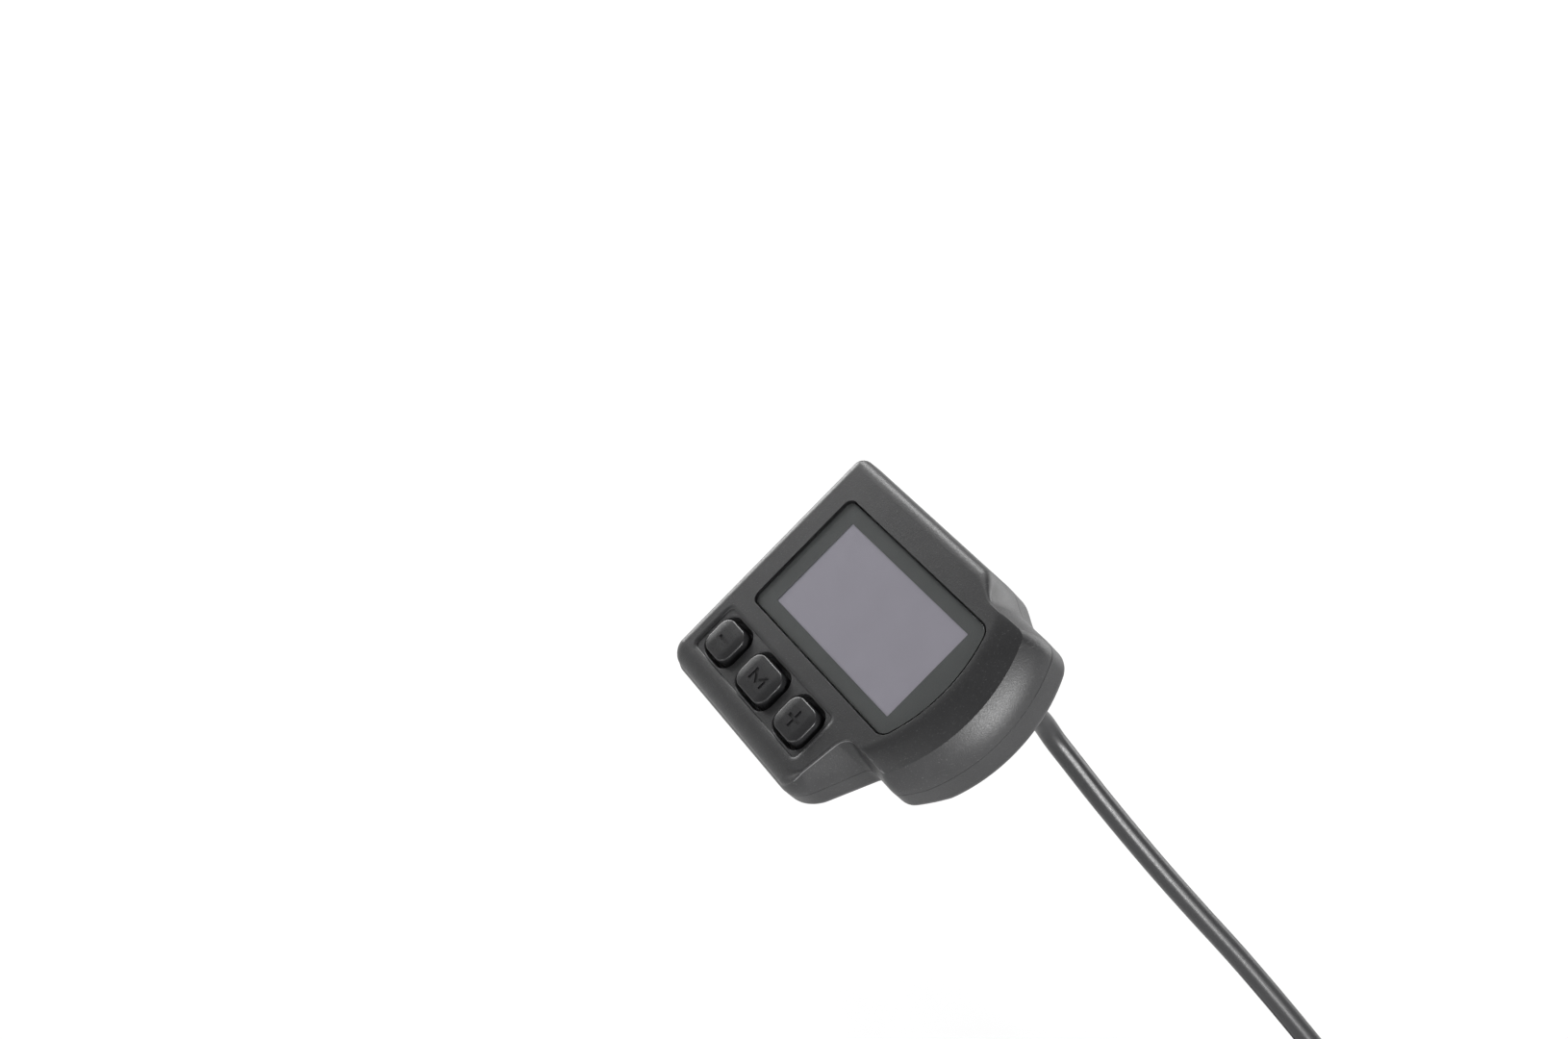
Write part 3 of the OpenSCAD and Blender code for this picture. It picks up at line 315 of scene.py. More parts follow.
def prism(name, points, top, low, lip=0.0, flare=0.5, fall=None):
    """A prism between two depths. A lip widens its upper end in a quarter round, for a cutter.

    The round is as deep as it is wide unless a fall is given, and the cutter starts at flare above its top.
    """
    rings = []
    fall = fall or lip
    if lip:
        rings.append([(x, y, -top + flare) for x, y in grown(points, lip)])
        for i in range(LIP_STEPS + 1):
            a = math.pi / 2 * i / LIP_STEPS
            wider = grown(points, lip * (1 - math.sin(a)))
            rings.append([(x, y, -top - fall * (1 - math.cos(a))) for x, y in wider])
    else:
        rings.append([(x, y, -top) for x, y in points])
    rings.append([(x, y, -low) for x, y in points])
    return lofted(name, rings)


def grown(points, distance):
    """The outline moved out by a distance, square to its edges."""
    n = len(points)
    out = []
    for i in range(n):
        x0, y0 = points[i - 1]
        x1, y1 = points[i]
        x2, y2 = points[(i + 1) % n]
        before = math.hypot(x1 - x0, y1 - y0) or 1
        after = math.hypot(x2 - x1, y2 - y1) or 1
        ax, ay = (x1 - x0) / before, (y1 - y0) / before
        bx, by = (x2 - x1) / after, (y2 - y1) / after
        nx, ny = ay + by, -ax - bx
        length = math.hypot(nx, ny) or 1
        nx, ny = nx / length, ny / length
        scale = distance / max(0.5, nx * ay - ny * ax)
        out.append((x1 + nx * scale, y1 + ny * scale))
    return out


def rounded(w, h, r, cx=0.0, cy=0.0, steps=CORNER_STEPS):
    """A rectangle with round corners about a middle."""
    pts = []
    for sx, sy, a0 in ((1, 1, 0), (-1, 1, 90), (-1, -1, 180), (1, -1, 270)):
        for i in range(steps + 1):
            a = math.radians(a0 + 90 * i / steps)
            pts.append((cx + sx * (w / 2 - r) + r * math.cos(a), cy + sy * (h / 2 - r) + r * math.sin(a)))
    return pts


def round_at(x, y, r):
    """A circle about a point."""
    angles = [2 * math.pi * i / CIRCLE_STEPS for i in range(CIRCLE_STEPS)]
    return [(x + r * math.cos(a), y + r * math.sin(a)) for a in angles]


def rounded_box(box, r, wider=0.0):
    """A rectangle with round corners, given by its left, right, low and top edge."""
    x0, x1, y0, y1 = box
    return rounded(x1 - x0 + wider, y1 - y0 + wider, r, (x0 + x1) / 2, (y0 + y1) / 2)


def boolean(obj, others, operation="DIFFERENCE"):
    """Cuts the others from an object or joins them to it, and removes them."""
    for other in others:
        m = obj.modifiers.new("cut", "BOOLEAN")
        m.operation = operation
        m.solver = "EXACT"
        m.object = other
    baked = bpy.data.meshes.new_from_object(obj.evaluated_get(bpy.context.evaluated_depsgraph_get()))
    obj.modifiers.clear()
    obj.data = baked
    for other in others:
        bpy.data.objects.remove(other)
    return obj


def settle(obj, angle=SMOOTH_ANGLE, weighted=True):
    """Cleans a finished piece, smooths it up to an angle and moves it to its place on the head."""
    bm = bmesh.new()
    bm.from_mesh(obj.data)
    bmesh.ops.remove_doubles(bm, verts=bm.verts, dist=WELD)
    bmesh.ops.dissolve_degenerate(bm, edges=bm.edges, dist=SLIVER)
    bm.to_mesh(obj.data)
    bm.free()
    obj.data.transform(HEAD)
    obj.data.polygons.foreach_set("use_smooth", [True] * len(obj.data.polygons))
    obj.data.set_sharp_from_angle(angle=math.radians(angle))
    if weighted:
        m = obj.modifiers.new("normals", "WEIGHTED_NORMAL")
        m.keep_sharp = True
        m.weight = NORMAL_WEIGHT
    return obj


def row_of(points):
    """Points of the head, to be searched for the one that is nearest."""
    row = KDTree(len(points))
    for i, p in enumerate(points):
        row.insert(HEAD @ Vector(p), i)
    row.balance()
    return row


def paint_near(obj, points, reach, look):
    """Gives the faces of a settled piece another look where they are close to a row of points."""
    row = row_of([Vector(a).lerp(Vector(b), k / PAINT_STEPS)
                  for a, b in zip(points, points[1:]) for k in range(PAINT_STEPS)])
    obj.data.materials.append(look)
    for face in obj.data.polygons:
        if row.find(face.center)[2] < reach * MM:
            face.material_index = 1


def keep_sharp(obj, points):
    """Keeps the edges of a settled piece sharp along a row of points of the head."""
    row = row_of(points)
    near = [row.find(v.co)[2] < ON_LINE * MM for v in obj.data.vertices]
    for edge in obj.data.edges:
        if near[edge.vertices[0]] and near[edge.vertices[1]]:
            edge.use_edge_sharp = True


# Materials, with sizes in millimetres
SLOW_SIZE, SLOW_DETAIL, PIT_SIZE, PIT_SHARE = 6, 4, 1.6, 0.5
SCRATCH_W, SCRATCH_SHAPE, SCRATCH_TURNS = 0.2, (1, 0.06, 1), (0.4, 1.3)
SCRATCH_TILT, SCRATCH_STOPS = 0.5, [(0.66, (0, 0, 0)), (0.74, (1, 1, 1))]
TONE_STOPS, GREY_STOPS = (0.35, 0.65), (0.3, 0.7)
METAL_GRAIN, METAL_DEPTH, SMEAR_SIZE, SLANT_POWER = 0.1, 0.004, 3, 5


def material(name):
    """A new material, with its empty tree's nodes and links."""
    m = bpy.data.materials.new(name)
    m.use_nodes = True
    m.node_tree.nodes.clear()
    return m, m.node_tree.nodes, m.node_tree.links


def show(tree, links, shader):
    """Makes a shader the one that the surface shows."""
    out = tree.new("ShaderNodeOutputMaterial")
    links.new(shader.outputs[0], out.inputs["Surface"])


def ramp(tree, links, source, stops):
    """A ramp through stops, each a place and a colour."""
    stops = list(stops)
    r = tree.new("ShaderNodeValToRGB")
    els = r.color_ramp.elements
    while len(els) < len(stops):
        els.new(0.5)
    for e, (pos, col) in zip(els, stops):
        e.position = pos
        e.color = (*col, 1)
    links.new(source, r.inputs["Fac"])
    return r.outputs["Color"]


def grey_between(tree, links, source, low, high):
    """Grey that goes from low to high as the source passes its middle."""
    return ramp(tree, links, source, zip(GREY_STOPS, ((low,) * 3, (high,) * 3)))


def maths(tree, links, operation, *values):
    """A math node, whose values are sockets or plain numbers."""
    made = tree.new("ShaderNodeMath")
    made.operation = operation
    for socket, value in zip(made.inputs, values):
        if isinstance(value, (int, float)):
            socket.default_value = value
        else:
            links.new(value, socket)
    return made.outputs[0]


def relief(tree, links, height, depth):
    """The normal of a surface with a relief as deep as depth, in millimetres."""
    bump = tree.new("ShaderNodeBump")
    bump.inputs["Strength"].default_value = 1.0
    bump.inputs["Distance"].default_value = depth * MM
    links.new(height, bump.inputs["Height"])
    return bump.outputs["Normal"]


def noise(tree, links, place, size, detail=3.0, stretch=None, turn=0.0):
    """A noise whose grains have a size in mm. A stretch draws them out into streaks."""
    made = tree.new("ShaderNodeTexNoise")
    made.inputs["Scale"].default_value = 1 / (size * MM)
    made.inputs["Detail"].default_value = detail
    if stretch:
        lay = tree.new("ShaderNodeMapping")
        lay.inputs["Rotation"].default_value = (SCRATCH_TILT, turn, turn)
        lay.inputs["Scale"].default_value = stretch
        links.new(place, lay.inputs["Vector"])
        place = lay.outputs["Vector"]
    links.new(place, made.inputs["Vector"])
    return made.outputs["Fac"]


def scratched(tree, links, place, tone, worn):
    """The tone, made lighter by worn along fine scratches in two directions."""
    for turn in SCRATCH_TURNS:
        streaks = noise(tree, links, place, SCRATCH_W, 2, SCRATCH_SHAPE, turn)
        highlighted_crest = tree.new("ShaderNodeVectorMath")
        highlighted_crest.operation = "MULTIPLY_ADD"
        links.new(ramp(tree, links, streaks, SCRATCH_STOPS), highlighted_crest.inputs[0])
        highlighted_crest.inputs[1].default_value = (worn, worn, worn)
        links.new(tone, highlighted_crest.inputs[2])
        tone = highlighted_crest.outputs["Vector"]
    return tone


def moulded(name, colour, rough=0.5, grain=0.22, depth=0.012, vary=0.12, spread=0.08, worn=0.0):
    """Moulded plastic with an eroded grain and slow changes of tone.

    Grain and depth are in mm. Worn is how much lighter its fine scratches are.
    """
    m, tree, links = material(name)
    place = tree.new("ShaderNodeTexCoord").outputs["Object"]
    slow = noise(tree, links, place, SLOW_SIZE, SLOW_DETAIL)
    fine = noise(tree, links, place, grain)
    pits = tree.new("ShaderNodeTexVoronoi")
    pits.inputs["Scale"].default_value = 1 / (grain * PIT_SIZE * MM)
    links.new(place, pits.inputs["Vector"])
    height = maths(tree, links, "MULTIPLY_ADD", pits.outputs["Distance"], PIT_SHARE, fine)
    low = tuple(c * (1 - vary) for c in colour)
    high = tuple(c * (1 + vary) for c in colour)
    tone = ramp(tree, links, slow, zip(TONE_STOPS, (low, high)))
    if worn:
        tone = scratched(tree, links, place, tone, worn)
    shader = tree.new("ShaderNodeBsdfPrincipled")
    shader.inputs["Specular IOR Level"].default_value = 0.5
    links.new(tone, shader.inputs["Base Color"])
    links.new(grey_between(tree, links, fine, rough - spread, rough + spread), shader.inputs["Roughness"])
    links.new(relief(tree, links, height, depth), shader.inputs["Normal"])
    show(tree, links, shader)
    return m


def metal(name, colour, rough):
    """Metal with a fine brushed grain."""
    m, tree, links = material(name)
    place = tree.new("ShaderNodeTexCoord").outputs["Object"]
    fine = noise(tree, links, place, METAL_GRAIN)
    shader = tree.new("ShaderNodeBsdfPrincipled")
    shader.inputs["Metallic"].default_value = 1
    tone = ramp(tree, links, fine, zip(GREY_STOPS, (tuple(c * 0.85 for c in colour), colour)))
    links.new(tone, shader.inputs["Base Color"])
    links.new(grey_between(tree, links, fine, rough * 0.8, rough * 1.3), shader.inputs["Roughness"])
    links.new(relief(tree, links, fine, METAL_DEPTH), shader.inputs["Normal"])
    show(tree, links, shader)
    return m


def clear(name, tint, rough, straight):
    """A thin clear lens: what lies under it shows through, and its face reflects more at a slant.

    Straight is the share that it reflects when it is seen straight on.
    """
    m, tree, links = material(name)
    place = tree.new("ShaderNodeTexCoord").outputs["Object"]
    smear = noise(tree, links, place, SMEAR_SIZE, 2)
    gloss = tree.new("ShaderNodeBsdfGlossy")
    links.new(grey_between(tree, links, smear, rough * 0.8, rough * 1.2), gloss.inputs["Roughness"])
    see = tree.new("ShaderNodeBsdfTransparent")
    see.inputs["Color"].default_value = (*tint, 1)
    slant = tree.new("ShaderNodeLayerWeight")
    slant.inputs["Blend"].default_value = 0.5
    steep = maths(tree, links, "POWER", slant.outputs["Facing"], SLANT_POWER)
    mixed = tree.new("ShaderNodeMixShader")
    links.new(maths(tree, links, "MULTIPLY_ADD", steep, 1 - straight, straight), mixed.inputs[0])
    links.new(see.outputs[0], mixed.inputs[1])
    links.new(gloss.outputs[0], mixed.inputs[2])
    show(tree, links, mixed)
    return m


front_plastic = moulded("front_plastic", (0.0205, 0.0205, 0.0215), rough=0.43, grain=0.2,
                        depth=0.018, worn=0.04)
rear_plastic = moulded("rear_plastic", (0.0195, 0.0195, 0.0205), rough=0.45, grain=0.19,
                       depth=0.0125, worn=0.018)
# A lighter material for the crisp crest: a painted highlight along that edge, with lighter scratches in it
crest_highlight_paint = moulded("crest_highlight_paint", (0.1, 0.1, 0.102), rough=0.35, grain=0.2, depth=0.01, vary=0.3, worn=0.06)
key_plastic = moulded("key_plastic", (0.019, 0.019, 0.02), rough=0.33, grain=0.12, depth=0.003, vary=0.06)
mark_paint = moulded("mark_paint", (0.0155, 0.0155, 0.0165), rough=0.6, grain=0.12, depth=0.004)
rubber = moulded("seal_rubber", (0.03, 0.03, 0.031), rough=0.7, grain=0.15, depth=0.006)
foam = moulded("black_foam", (0.012, 0.012, 0.012), rough=0.9, grain=0.3, depth=0.02)
jacket = moulded("cable_jacket", (0.018, 0.018, 0.019), rough=0.34, grain=0.3, depth=0.004,
                 vary=0.05, spread=0.06)
tie_plastic = moulded("tie_plastic", (0.03, 0.03, 0.032), rough=0.4, grain=0.2, depth=0.004)
plug_plastic = moulded("plug_plastic", (0.025, 0.025, 0.027), rough=0.5, grain=0.2, depth=0.01)
insert_plastic = moulded("insert_plastic", (0.04, 0.25, 0.07), rough=0.5)
board_green = moulded("board", (0.02, 0.16, 0.08), rough=0.35, depth=0.003)
chip_black = moulded("chip", (0.03, 0.03, 0.035), rough=0.6)
cream = moulded("connector_plastic", (0.75, 0.72, 0.62), rough=0.5)
white = moulded("white_plastic", (0.8, 0.8, 0.78), rough=0.6, vary=0.03)
amber = moulded("flex_film", (0.5, 0.28, 0.07), rough=0.35, depth=0.002)
wire_paint = moulded("wire", (0.35, 0.04, 0.04), rough=0.4, depth=0.002)
red = moulded("stem_plastic", (0.5, 0.08, 0.05), rough=0.4, depth=0.002)
border = moulded("lens_border", (0.114, 0.114, 0.113), rough=0.6, grain=0.3, depth=0.001, vary=0.03)
screen_grey = moulded("lcd", (0.475, 0.436, 0.503), rough=0.5, grain=0.3, depth=0.0, vary=0.02)
glass_clear = clear("lens", (0.93, 0.94, 0.94), rough=0.08, straight=0.03)
steel = metal("steel", (0.6, 0.6, 0.62), 0.3)
dark_steel = metal("dark_steel", (0.08, 0.08, 0.085), 0.35)
gold = metal("pin_brass", (0.8, 0.6, 0.22), 0.25)

looks = {
    "front_cover": front_plastic, "rear_cover": rear_plastic, "housing_gasket": rubber, "lens": glass_clear,
    "lens_tape": foam, "screen_foam": foam, "lcd_panel": screen_grey, "lcd_backlight": white,
    "lcd_flex": amber, "main_board": board_green, "board_chips": chip_black, "board_connector": cream,
    "lead_wires": wire_paint, "board_screws": steel, "housing_screws": dark_steel, "keypad_mat": rubber,
    "key_switches": chip_black, "button_minus": key_plastic, "button_mode": key_plastic,
    "button_plus": key_plastic, "switch_stem_minus": red, "switch_stem_mode": red, "switch_stem_plus": red,
    "clamp_ring": rear_plastic, "clamp_liner": rubber, "clamp_screw": steel, "clamp_nut": steel,
    "bracket_screws": steel, "cable_gland": rubber, "display_cable": jacket, "cable_coil": jacket,
    "cable_tie": tie_plastic, "plug_body": plug_plastic, "plug_insert": insert_plastic, "plug_pins": gold,
}
for name, look in looks.items():
    nodes[name].data.materials.clear()
    nodes[name].data.materials.append(look)


def dress(obj, look, slot_name, body, *stands_for):
    """Gives a piece its look and body, and hides the nodes that it stands for. The slot name is not used."""
    obj.data.materials.clear()
    obj.data.materials.append(look)
    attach(obj, body)
    if stands_for:
        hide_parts(*stands_for)
    return obj


lead.data.materials.append(jacket)

# The keys' middles and widths, the screen and the lens
KEY_Y = -20.2
KEYS = {"minus": (-20.35, 7.2), "mode": (-8.2, 9.2), "plus": (3.95, 7.6)}
KEY_H, KEY_R, KEY_BOW, KEY_EDGE = 6.6, 2.1, 0.15, 0.3
PROUD, PARALLAX = 0.8, 0.84
SCREEN_W, SCREEN_H, PRINT_SHIFT = 35.8, 18.2, 0.55
LENS_LEFT, LENS_RIGHT, LENS_HALF, LENS_BOW = 22.5, 22.4, 11.85, 27.0
LENS_LEFT_R, LENS_END_R, LENS_STEPS, LENS_BOW_STEPS = 1.5, 2.3, 8, 40


def lens_outline(inset):
    """The lens's outline, with a bowed right end, moved in by inset."""
    pi = math.pi
    steps = LENS_STEPS
    left, half, r = LENS_LEFT - inset, LENS_HALF - inset, LENS_BOW - inset
    bow = LENS_RIGHT - LENS_BOW
    left_r, end_r = max(LEAST_R, LENS_LEFT_R - inset), max(LEAST_R, LENS_END_R - inset)
    end_y = half - end_r
    end_x = bow + math.sqrt((r - end_r)**2 - end_y**2)
    a = math.atan2(end_y, end_x - bow)
    pts = arc(-left + left_r, -half + left_r, left_r, left_r, pi, 1.5 * pi, steps, 0, 0)
    pts += arc(end_x, -end_y, end_r, end_r, -pi / 2, -a, steps, 0, 0)
    pts += arc(bow, 0, r, r, -a, a, LENS_BOW_STEPS, 0, 0)[1:-1]
    pts += arc(end_x, end_y, end_r, end_r, a, pi / 2, steps, 0, 0)
    pts += arc(-left + left_r, half - left_r, left_r, left_r, pi / 2, pi, steps, 0, 0)
    return [(p[0], p[1]) for p in pts]


# Housing: half the seam, the rear cover's broken edge, its walls on the left and right, and cutters' ends
HALF_SEAM, REAR_BREAK = 0.04, 0.12
WALLS, PAST_SEAM, PAST_BACK = (3, 4), 20, 30

# The lens's seat and the window, the keys' holes, the recessed strip round them, and the painted highlight
# along the crest
LENS_GAP, LENS_LIP, LEDGE = 0.3, 0.05, 1.45
WINDOW_MORE, WINDOW_R, WINDOW_TOP, WINDOW_LOW = 1.2, 0.3, 0.5, FACE_T + 1
GAP, GAP_TOP, HOLE_R, HOLE_LIP, HOLE_FLARE = 0.7, 0.95, 2.5, 0.3, 0.2
CHANNEL, CHANNEL_TOP, CHANNEL_LOW, CHANNEL_LEFT, CHANNEL_RIGHT = 0.3, 0.3, 0.4, 1.0, 0.6
CHANNEL_R, CHANNEL_LIP, CHANNEL_FALL = 1.0, 0.9, 0.28
CRISP_FROM = 0.3
HIGHLIGHT_LOW, HIGHLIGHT_HIGH, HIGHLIGHT_RIGHT, HIGHLIGHT_REACH = -27.5, -13, 24, 0.2

# The rear cover's rooms, its screws' recesses and the gland's hole
ROOM_LOW, DEEP_ROOM, DEEP_ROOM_R, DEEP_ROOM_Y, DEEP_ROOM_LOW = 6.6, (52, 25), 2, 3.5, 11.6
SCREWS = [(-25, 14.9), (22.9, 13.2), (-25, -11.4), (23.1, -12.4)]
RECESS_R, RECESS = 2.0, 2.0
GLAND_HOLE_R, GLAND_HOLE = 3.2, 1


def key_hole(x, w):
    """Left, right, low and top edge of the hole round a key."""
    x += PARALLAX
    return x - w / 2 - GAP, x + w / 2 + GAP, KEY_Y - KEY_H / 2 - GAP, KEY_Y + KEY_H / 2 + GAP_TOP


def cover_rings():
    """Rings of the front cover, from its face down the skirt, and the points of its crisp edge."""
    rings = []
    for i in range(EDGE_STEPS + 1):
        a = math.pi / 2 * i / EDGE_STEPS
        s = 1 - math.sin(a)
        ring = outline(DRAFT + ROLL * s, CREASE * s, 1, SKIRT + BAND * (1 - i / EDGE_STEPS))
        fall = 1 - math.cos(a)
        rings.append([(x, y, -mix(ROLL, CREASE, k) * fall - face_drop(x, y)) for x, y, k in ring])
    crease = rings[-1]
    crisp = [p for p, (x, y, k) in zip(crease, ring) if k > CRISP_FROM]
    for i in range(1, SKIRT_STEPS + 1):
        t = i / SKIRT_STEPS
        rise = (1 - t)**SKIRT_POWER
        ring = outline(DRAFT * rise, 0, rise, SKIRT * rise)
        rings.append([(x, y, mix(c[2], -seam_at(y) + HALF_SEAM, t)) for (x, y, k), c in zip(ring, crease)])
    return rings, crisp


def channel_outline():
    """The recessed strip round all three keys."""
    first, final = key_hole(*KEYS["minus"]), key_hole(*KEYS["plus"])
    return rounded_box((first[0] - CHANNEL_LEFT, final[1] + CHANNEL_RIGHT, first[2] - CHANNEL_LOW,
                        first[3] + CHANNEL_TOP), CHANNEL_R)


def front_cover():
    """The front cover, and the points of its crisp edge."""
    rings, crisp = cover_rings()
    body = lofted("cover_front", rings, bottom=(0, SEAM_KNEE, -SEAM + HALF_SEAM))
    window = rounded(SCREEN_W + WINDOW_MORE, SCREEN_H + WINDOW_MORE, WINDOW_R)
    cutters = [
        prism("room", [(x, y) for x, y, k in outline(*WALLS)], FACE_T, PAST_SEAM),
        prism("lens_seat", lens_outline(-LENS_GAP), 0, LEDGE, lip=LENS_LIP),
        prism("window", window, WINDOW_TOP, WINDOW_LOW),
        prism("channel", channel_outline(), 0, CHANNEL, lip=CHANNEL_LIP, fall=CHANNEL_FALL),
    ]
    for place in KEYS.values():
        hole = rounded_box(key_hole(*place), HOLE_R)
        cutters.append(prism("key_hole", hole, CHANNEL, FACE_T + 1, lip=HOLE_LIP, flare=HOLE_FLARE))
    boolean(body, cutters)
    settle(body)
    keep_sharp(body, crisp)
    return body, crisp


cover, crest = front_cover()
dress(cover, front_plastic, "front_plastic", "display", "front_cover")
# Faces along the crest beside the keys and the notch take the lighter material, as a painted highlight on
# that edge
highlighted_crest = [p for p in crest if HIGHLIGHT_LOW < p[1] < HIGHLIGHT_HIGH and p[0] < HIGHLIGHT_RIGHT]
paint_near(cover, highlighted_crest, HIGHLIGHT_REACH, crest_highlight_paint)


def rear_cover():
    """The rear cover, hollow, with a recess for each screw and a hole for the gland."""
    rings = []
    for inset in (REAR_BREAK, 0):
        depth = HALF_SEAM + REAR_BREAK - inset
        rings.append([(x, y, -seam_at(y) - depth) for x, y, k in outline(inset, inset)])
    for i in range(BACK_STEPS + 1):
        a = math.pi / 2 * i / BACK_STEPS
        inset = BACK_R * (1 - math.cos(a))
        rings.append([(x, y, -back_at(y) + BACK_R * (1 - math.sin(a))) for x, y, k in outline(inset, inset)])
    body = lofted("cover_rear", rings, top=(0, BACK_KNEE, -SEAM), bottom=(0, BACK_KNEE, -HEAD_T))
    deep_room = rounded(*DEEP_ROOM, DEEP_ROOM_R, 0, DEEP_ROOM_Y)
    cutters = [
        prism("room", [(x, y) for x, y, k in outline(*WALLS)], 0, ROOM_LOW),
        prism("deep_room", deep_room, 0, DEEP_ROOM_LOW),
    ]
    for x, y in SCREWS:
        cutters.append(prism("recess", round_at(x, y, RECESS_R), back_at(y) - RECESS, PAST_BACK))
    cutters.append(prism("gland_hole", round_at(*GLAND, GLAND_HOLE_R), HEAD_T - GLAND_HOLE, PAST_BACK))
    boolean(body, cutters)
    return settle(body)


dress(rear_cover(), rear_plastic, "rear_plastic", "display", "rear_cover")

# Keys
DOME_SHARES, CENTRE_R, KEY_STEPS, KEY_CORNER_STEPS = (0.25, 0.5, 0.75), 0.05, 6, 10
KEY_SIDE = ((0.06, 0.6), (0.15, 2.4))
KEY_ANGLE, MARK_DEPTH, MARK_ABOVE = 30, 0.2, 1
FLANGE_MORE, FLANGE_TOP, FLANGE_LOW = 0.5, 2.4, 3.1
POST_R, POST_TOP, POST_LOW = 1.1, 3.0, 4.35
MINUS_HALF, PLUS_HALF, STROKE_HALF = 1.5, 1.6, 0.28
M_HALF, M_HALF_H, M_LEG, M_ARM = 1.95, 1.15, 0.55, 0.5
M_SHOULDER, M_TIP, M_DIP = 0.35, 0.05, 1.0


def glyph(kind):
    """Outline of a key's mark about the key's middle."""
    b = STROKE_HALF
    if kind == "minus":
        a = MINUS_HALF
        return [(-a, -b), (a, -b), (a, b), (-a, b)]
    if kind == "plus":
        a = PLUS_HALF
        return [(-a, -b), (-b, -b), (-b, -a), (b, -a), (b, -b), (a, -b),
                (a, b), (b, b), (b, a), (-b, a), (-b, b), (-a, b)]
    a, h, leg = M_HALF, M_HALF_H, M_HALF - M_LEG
    return [(-a, -h), (-leg, -h), (-leg, M_SHOULDER), (0, -h + M_TIP), (leg, M_SHOULDER), (leg, -h),
            (a, -h), (a, h), (a - M_ARM, h), (0, -h + M_DIP), (-a + M_ARM, h), (-a, h)]


def key_ring(x, w, inset, r, height):
    """A ring of a key, moved in by inset, at a height over the face."""
    ring = rounded(w - 2 * inset, KEY_H - 2 * inset, r, x, KEY_Y, KEY_CORNER_STEPS)
    return [(px, py, height) for px, py in ring]


def key_cap(kind, x, w):
    """A key's cap: a bowed top, a round edge and a side that widens downwards, with the mark cut in."""
    rings = []
    for share in DOME_SHARES:
        inset = mix(KEY_R + KEY_EDGE, KEY_EDGE, share)
        height = PROUD + KEY_BOW * (1 - share**2)
        rings.append(key_ring(x, w, inset, max(CENTRE_R, KEY_R - inset), height))
    for i in range(KEY_STEPS + 1):
        a = math.pi / 2 * i / KEY_STEPS
        inset = KEY_EDGE * (1 - math.sin(a))
        rings.append(key_ring(x, w, inset, KEY_R - inset, PROUD - KEY_EDGE * (1 - math.cos(a))))
    for wider, depth in KEY_SIDE:
        rings.append(key_ring(x, w, -wider, KEY_R, -depth))
    cap = lofted("key_" + kind, rings)
    sign = [(px + x, py + KEY_Y) for px, py in glyph(kind)]
    mark = prism("mark", sign, -PROUD - MARK_ABOVE, MARK_DEPTH - PROUD - KEY_BOW)
    mark.data.materials.append(mark_paint)
    cap.data.materials.append(key_plastic)
    return boolean(cap, [mark])


def key_foot(kind, x, w):
    """A key's flange, wider than its hole, with the post that presses the switch."""
    wide = rounded_box(key_hole(x, w), KEY_R, FLANGE_MORE)
    flange = prism("key_flange_" + kind, wide, FLANGE_TOP, FLANGE_LOW)
    post = prism("post", round_at(x, KEY_Y, POST_R), POST_TOP, POST_LOW)
    return boolean(flange, [post], "UNION")


def key(kind, x, w):
    """A key in one piece, from its cap to the post under it."""
    cap = key_cap(kind, x + PARALLAX, w)
    boolean(cap, [key_foot(kind, x, w)], "UNION")
    settle(cap, KEY_ANGLE)
    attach(cap, kind + "_key")
    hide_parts("button_" + kind)


for kind, (x, w) in KEYS.items():
    key(kind, x, w)

# Lens, the print under it and the screen's film, whose depths are under the face
LENS_RINGS, LENS_ANGLE, SIDE = ((0.12, 0.1), (0.04, 0.13), (0, 0.22), (0, 0.5)), 10, 0.5
PRINT_INSET, PRINT_TOP, PRINT_LOW, PRINT_CUT, PRINT_R = 0.02, 0.52, 0.6, (0.4, 0.8), 0.2
FILM_MORE, FILM_R, FILM_TOP, FILM_LOW = 1, 0.3, 0.62, 0.7


def lens():
    """The lens, with a broken upper edge. Its sides are painted dark as shade, so that the gap round the
    lens shows dark. Its sides are dark, so that its seat doesn't show through them.
    """
    rings = []
    for inset, depth in LENS_RINGS:
        rings.append([(x, y, -depth) for x, y in lens_outline(inset)])
    obj = settle(lofted("lens_clear", rings), LENS_ANGLE, weighted=False)
    dress(obj, glass_clear, "lens", "display", "lens")
    # Painted shade: the lens's sides take the black foam's colour to stand for the shaded gap round it
    obj.data.materials.append(foam)
    for face in obj.data.polygons:
        if abs(face.normal.dot(OUT)) < SIDE:
            face.material_index = 1


def print_frame():
    """The dark print on the underside of the lens, round the window."""
    outer = prism("lens_print", lens_outline(PRINT_INSET), PRINT_TOP, PRINT_LOW)
    inner = prism("hole", rounded(SCREEN_W, SCREEN_H, PRINT_R, -PRINT_SHIFT), *PRINT_CUT)
    dress(settle(boolean(outer, [inner]), weighted=False), border, "lens", "display")


def screen_film():
    """The unlit screen's upper film, which fills the window."""
    sheet = rounded(SCREEN_W + FILM_MORE, SCREEN_H + FILM_MORE, FILM_R, -PRINT_SHIFT)
    film = prism("screen_film", sheet, FILM_TOP, FILM_LOW)
    dress(settle(film, weighted=False), screen_grey, "lcd", "display")


lens()
print_frame()
screen_film()

# Hardware with softened edges
FLAT_ANGLE, BEVEL_ANGLE, BEVEL_STEPS = 1, 35, 3


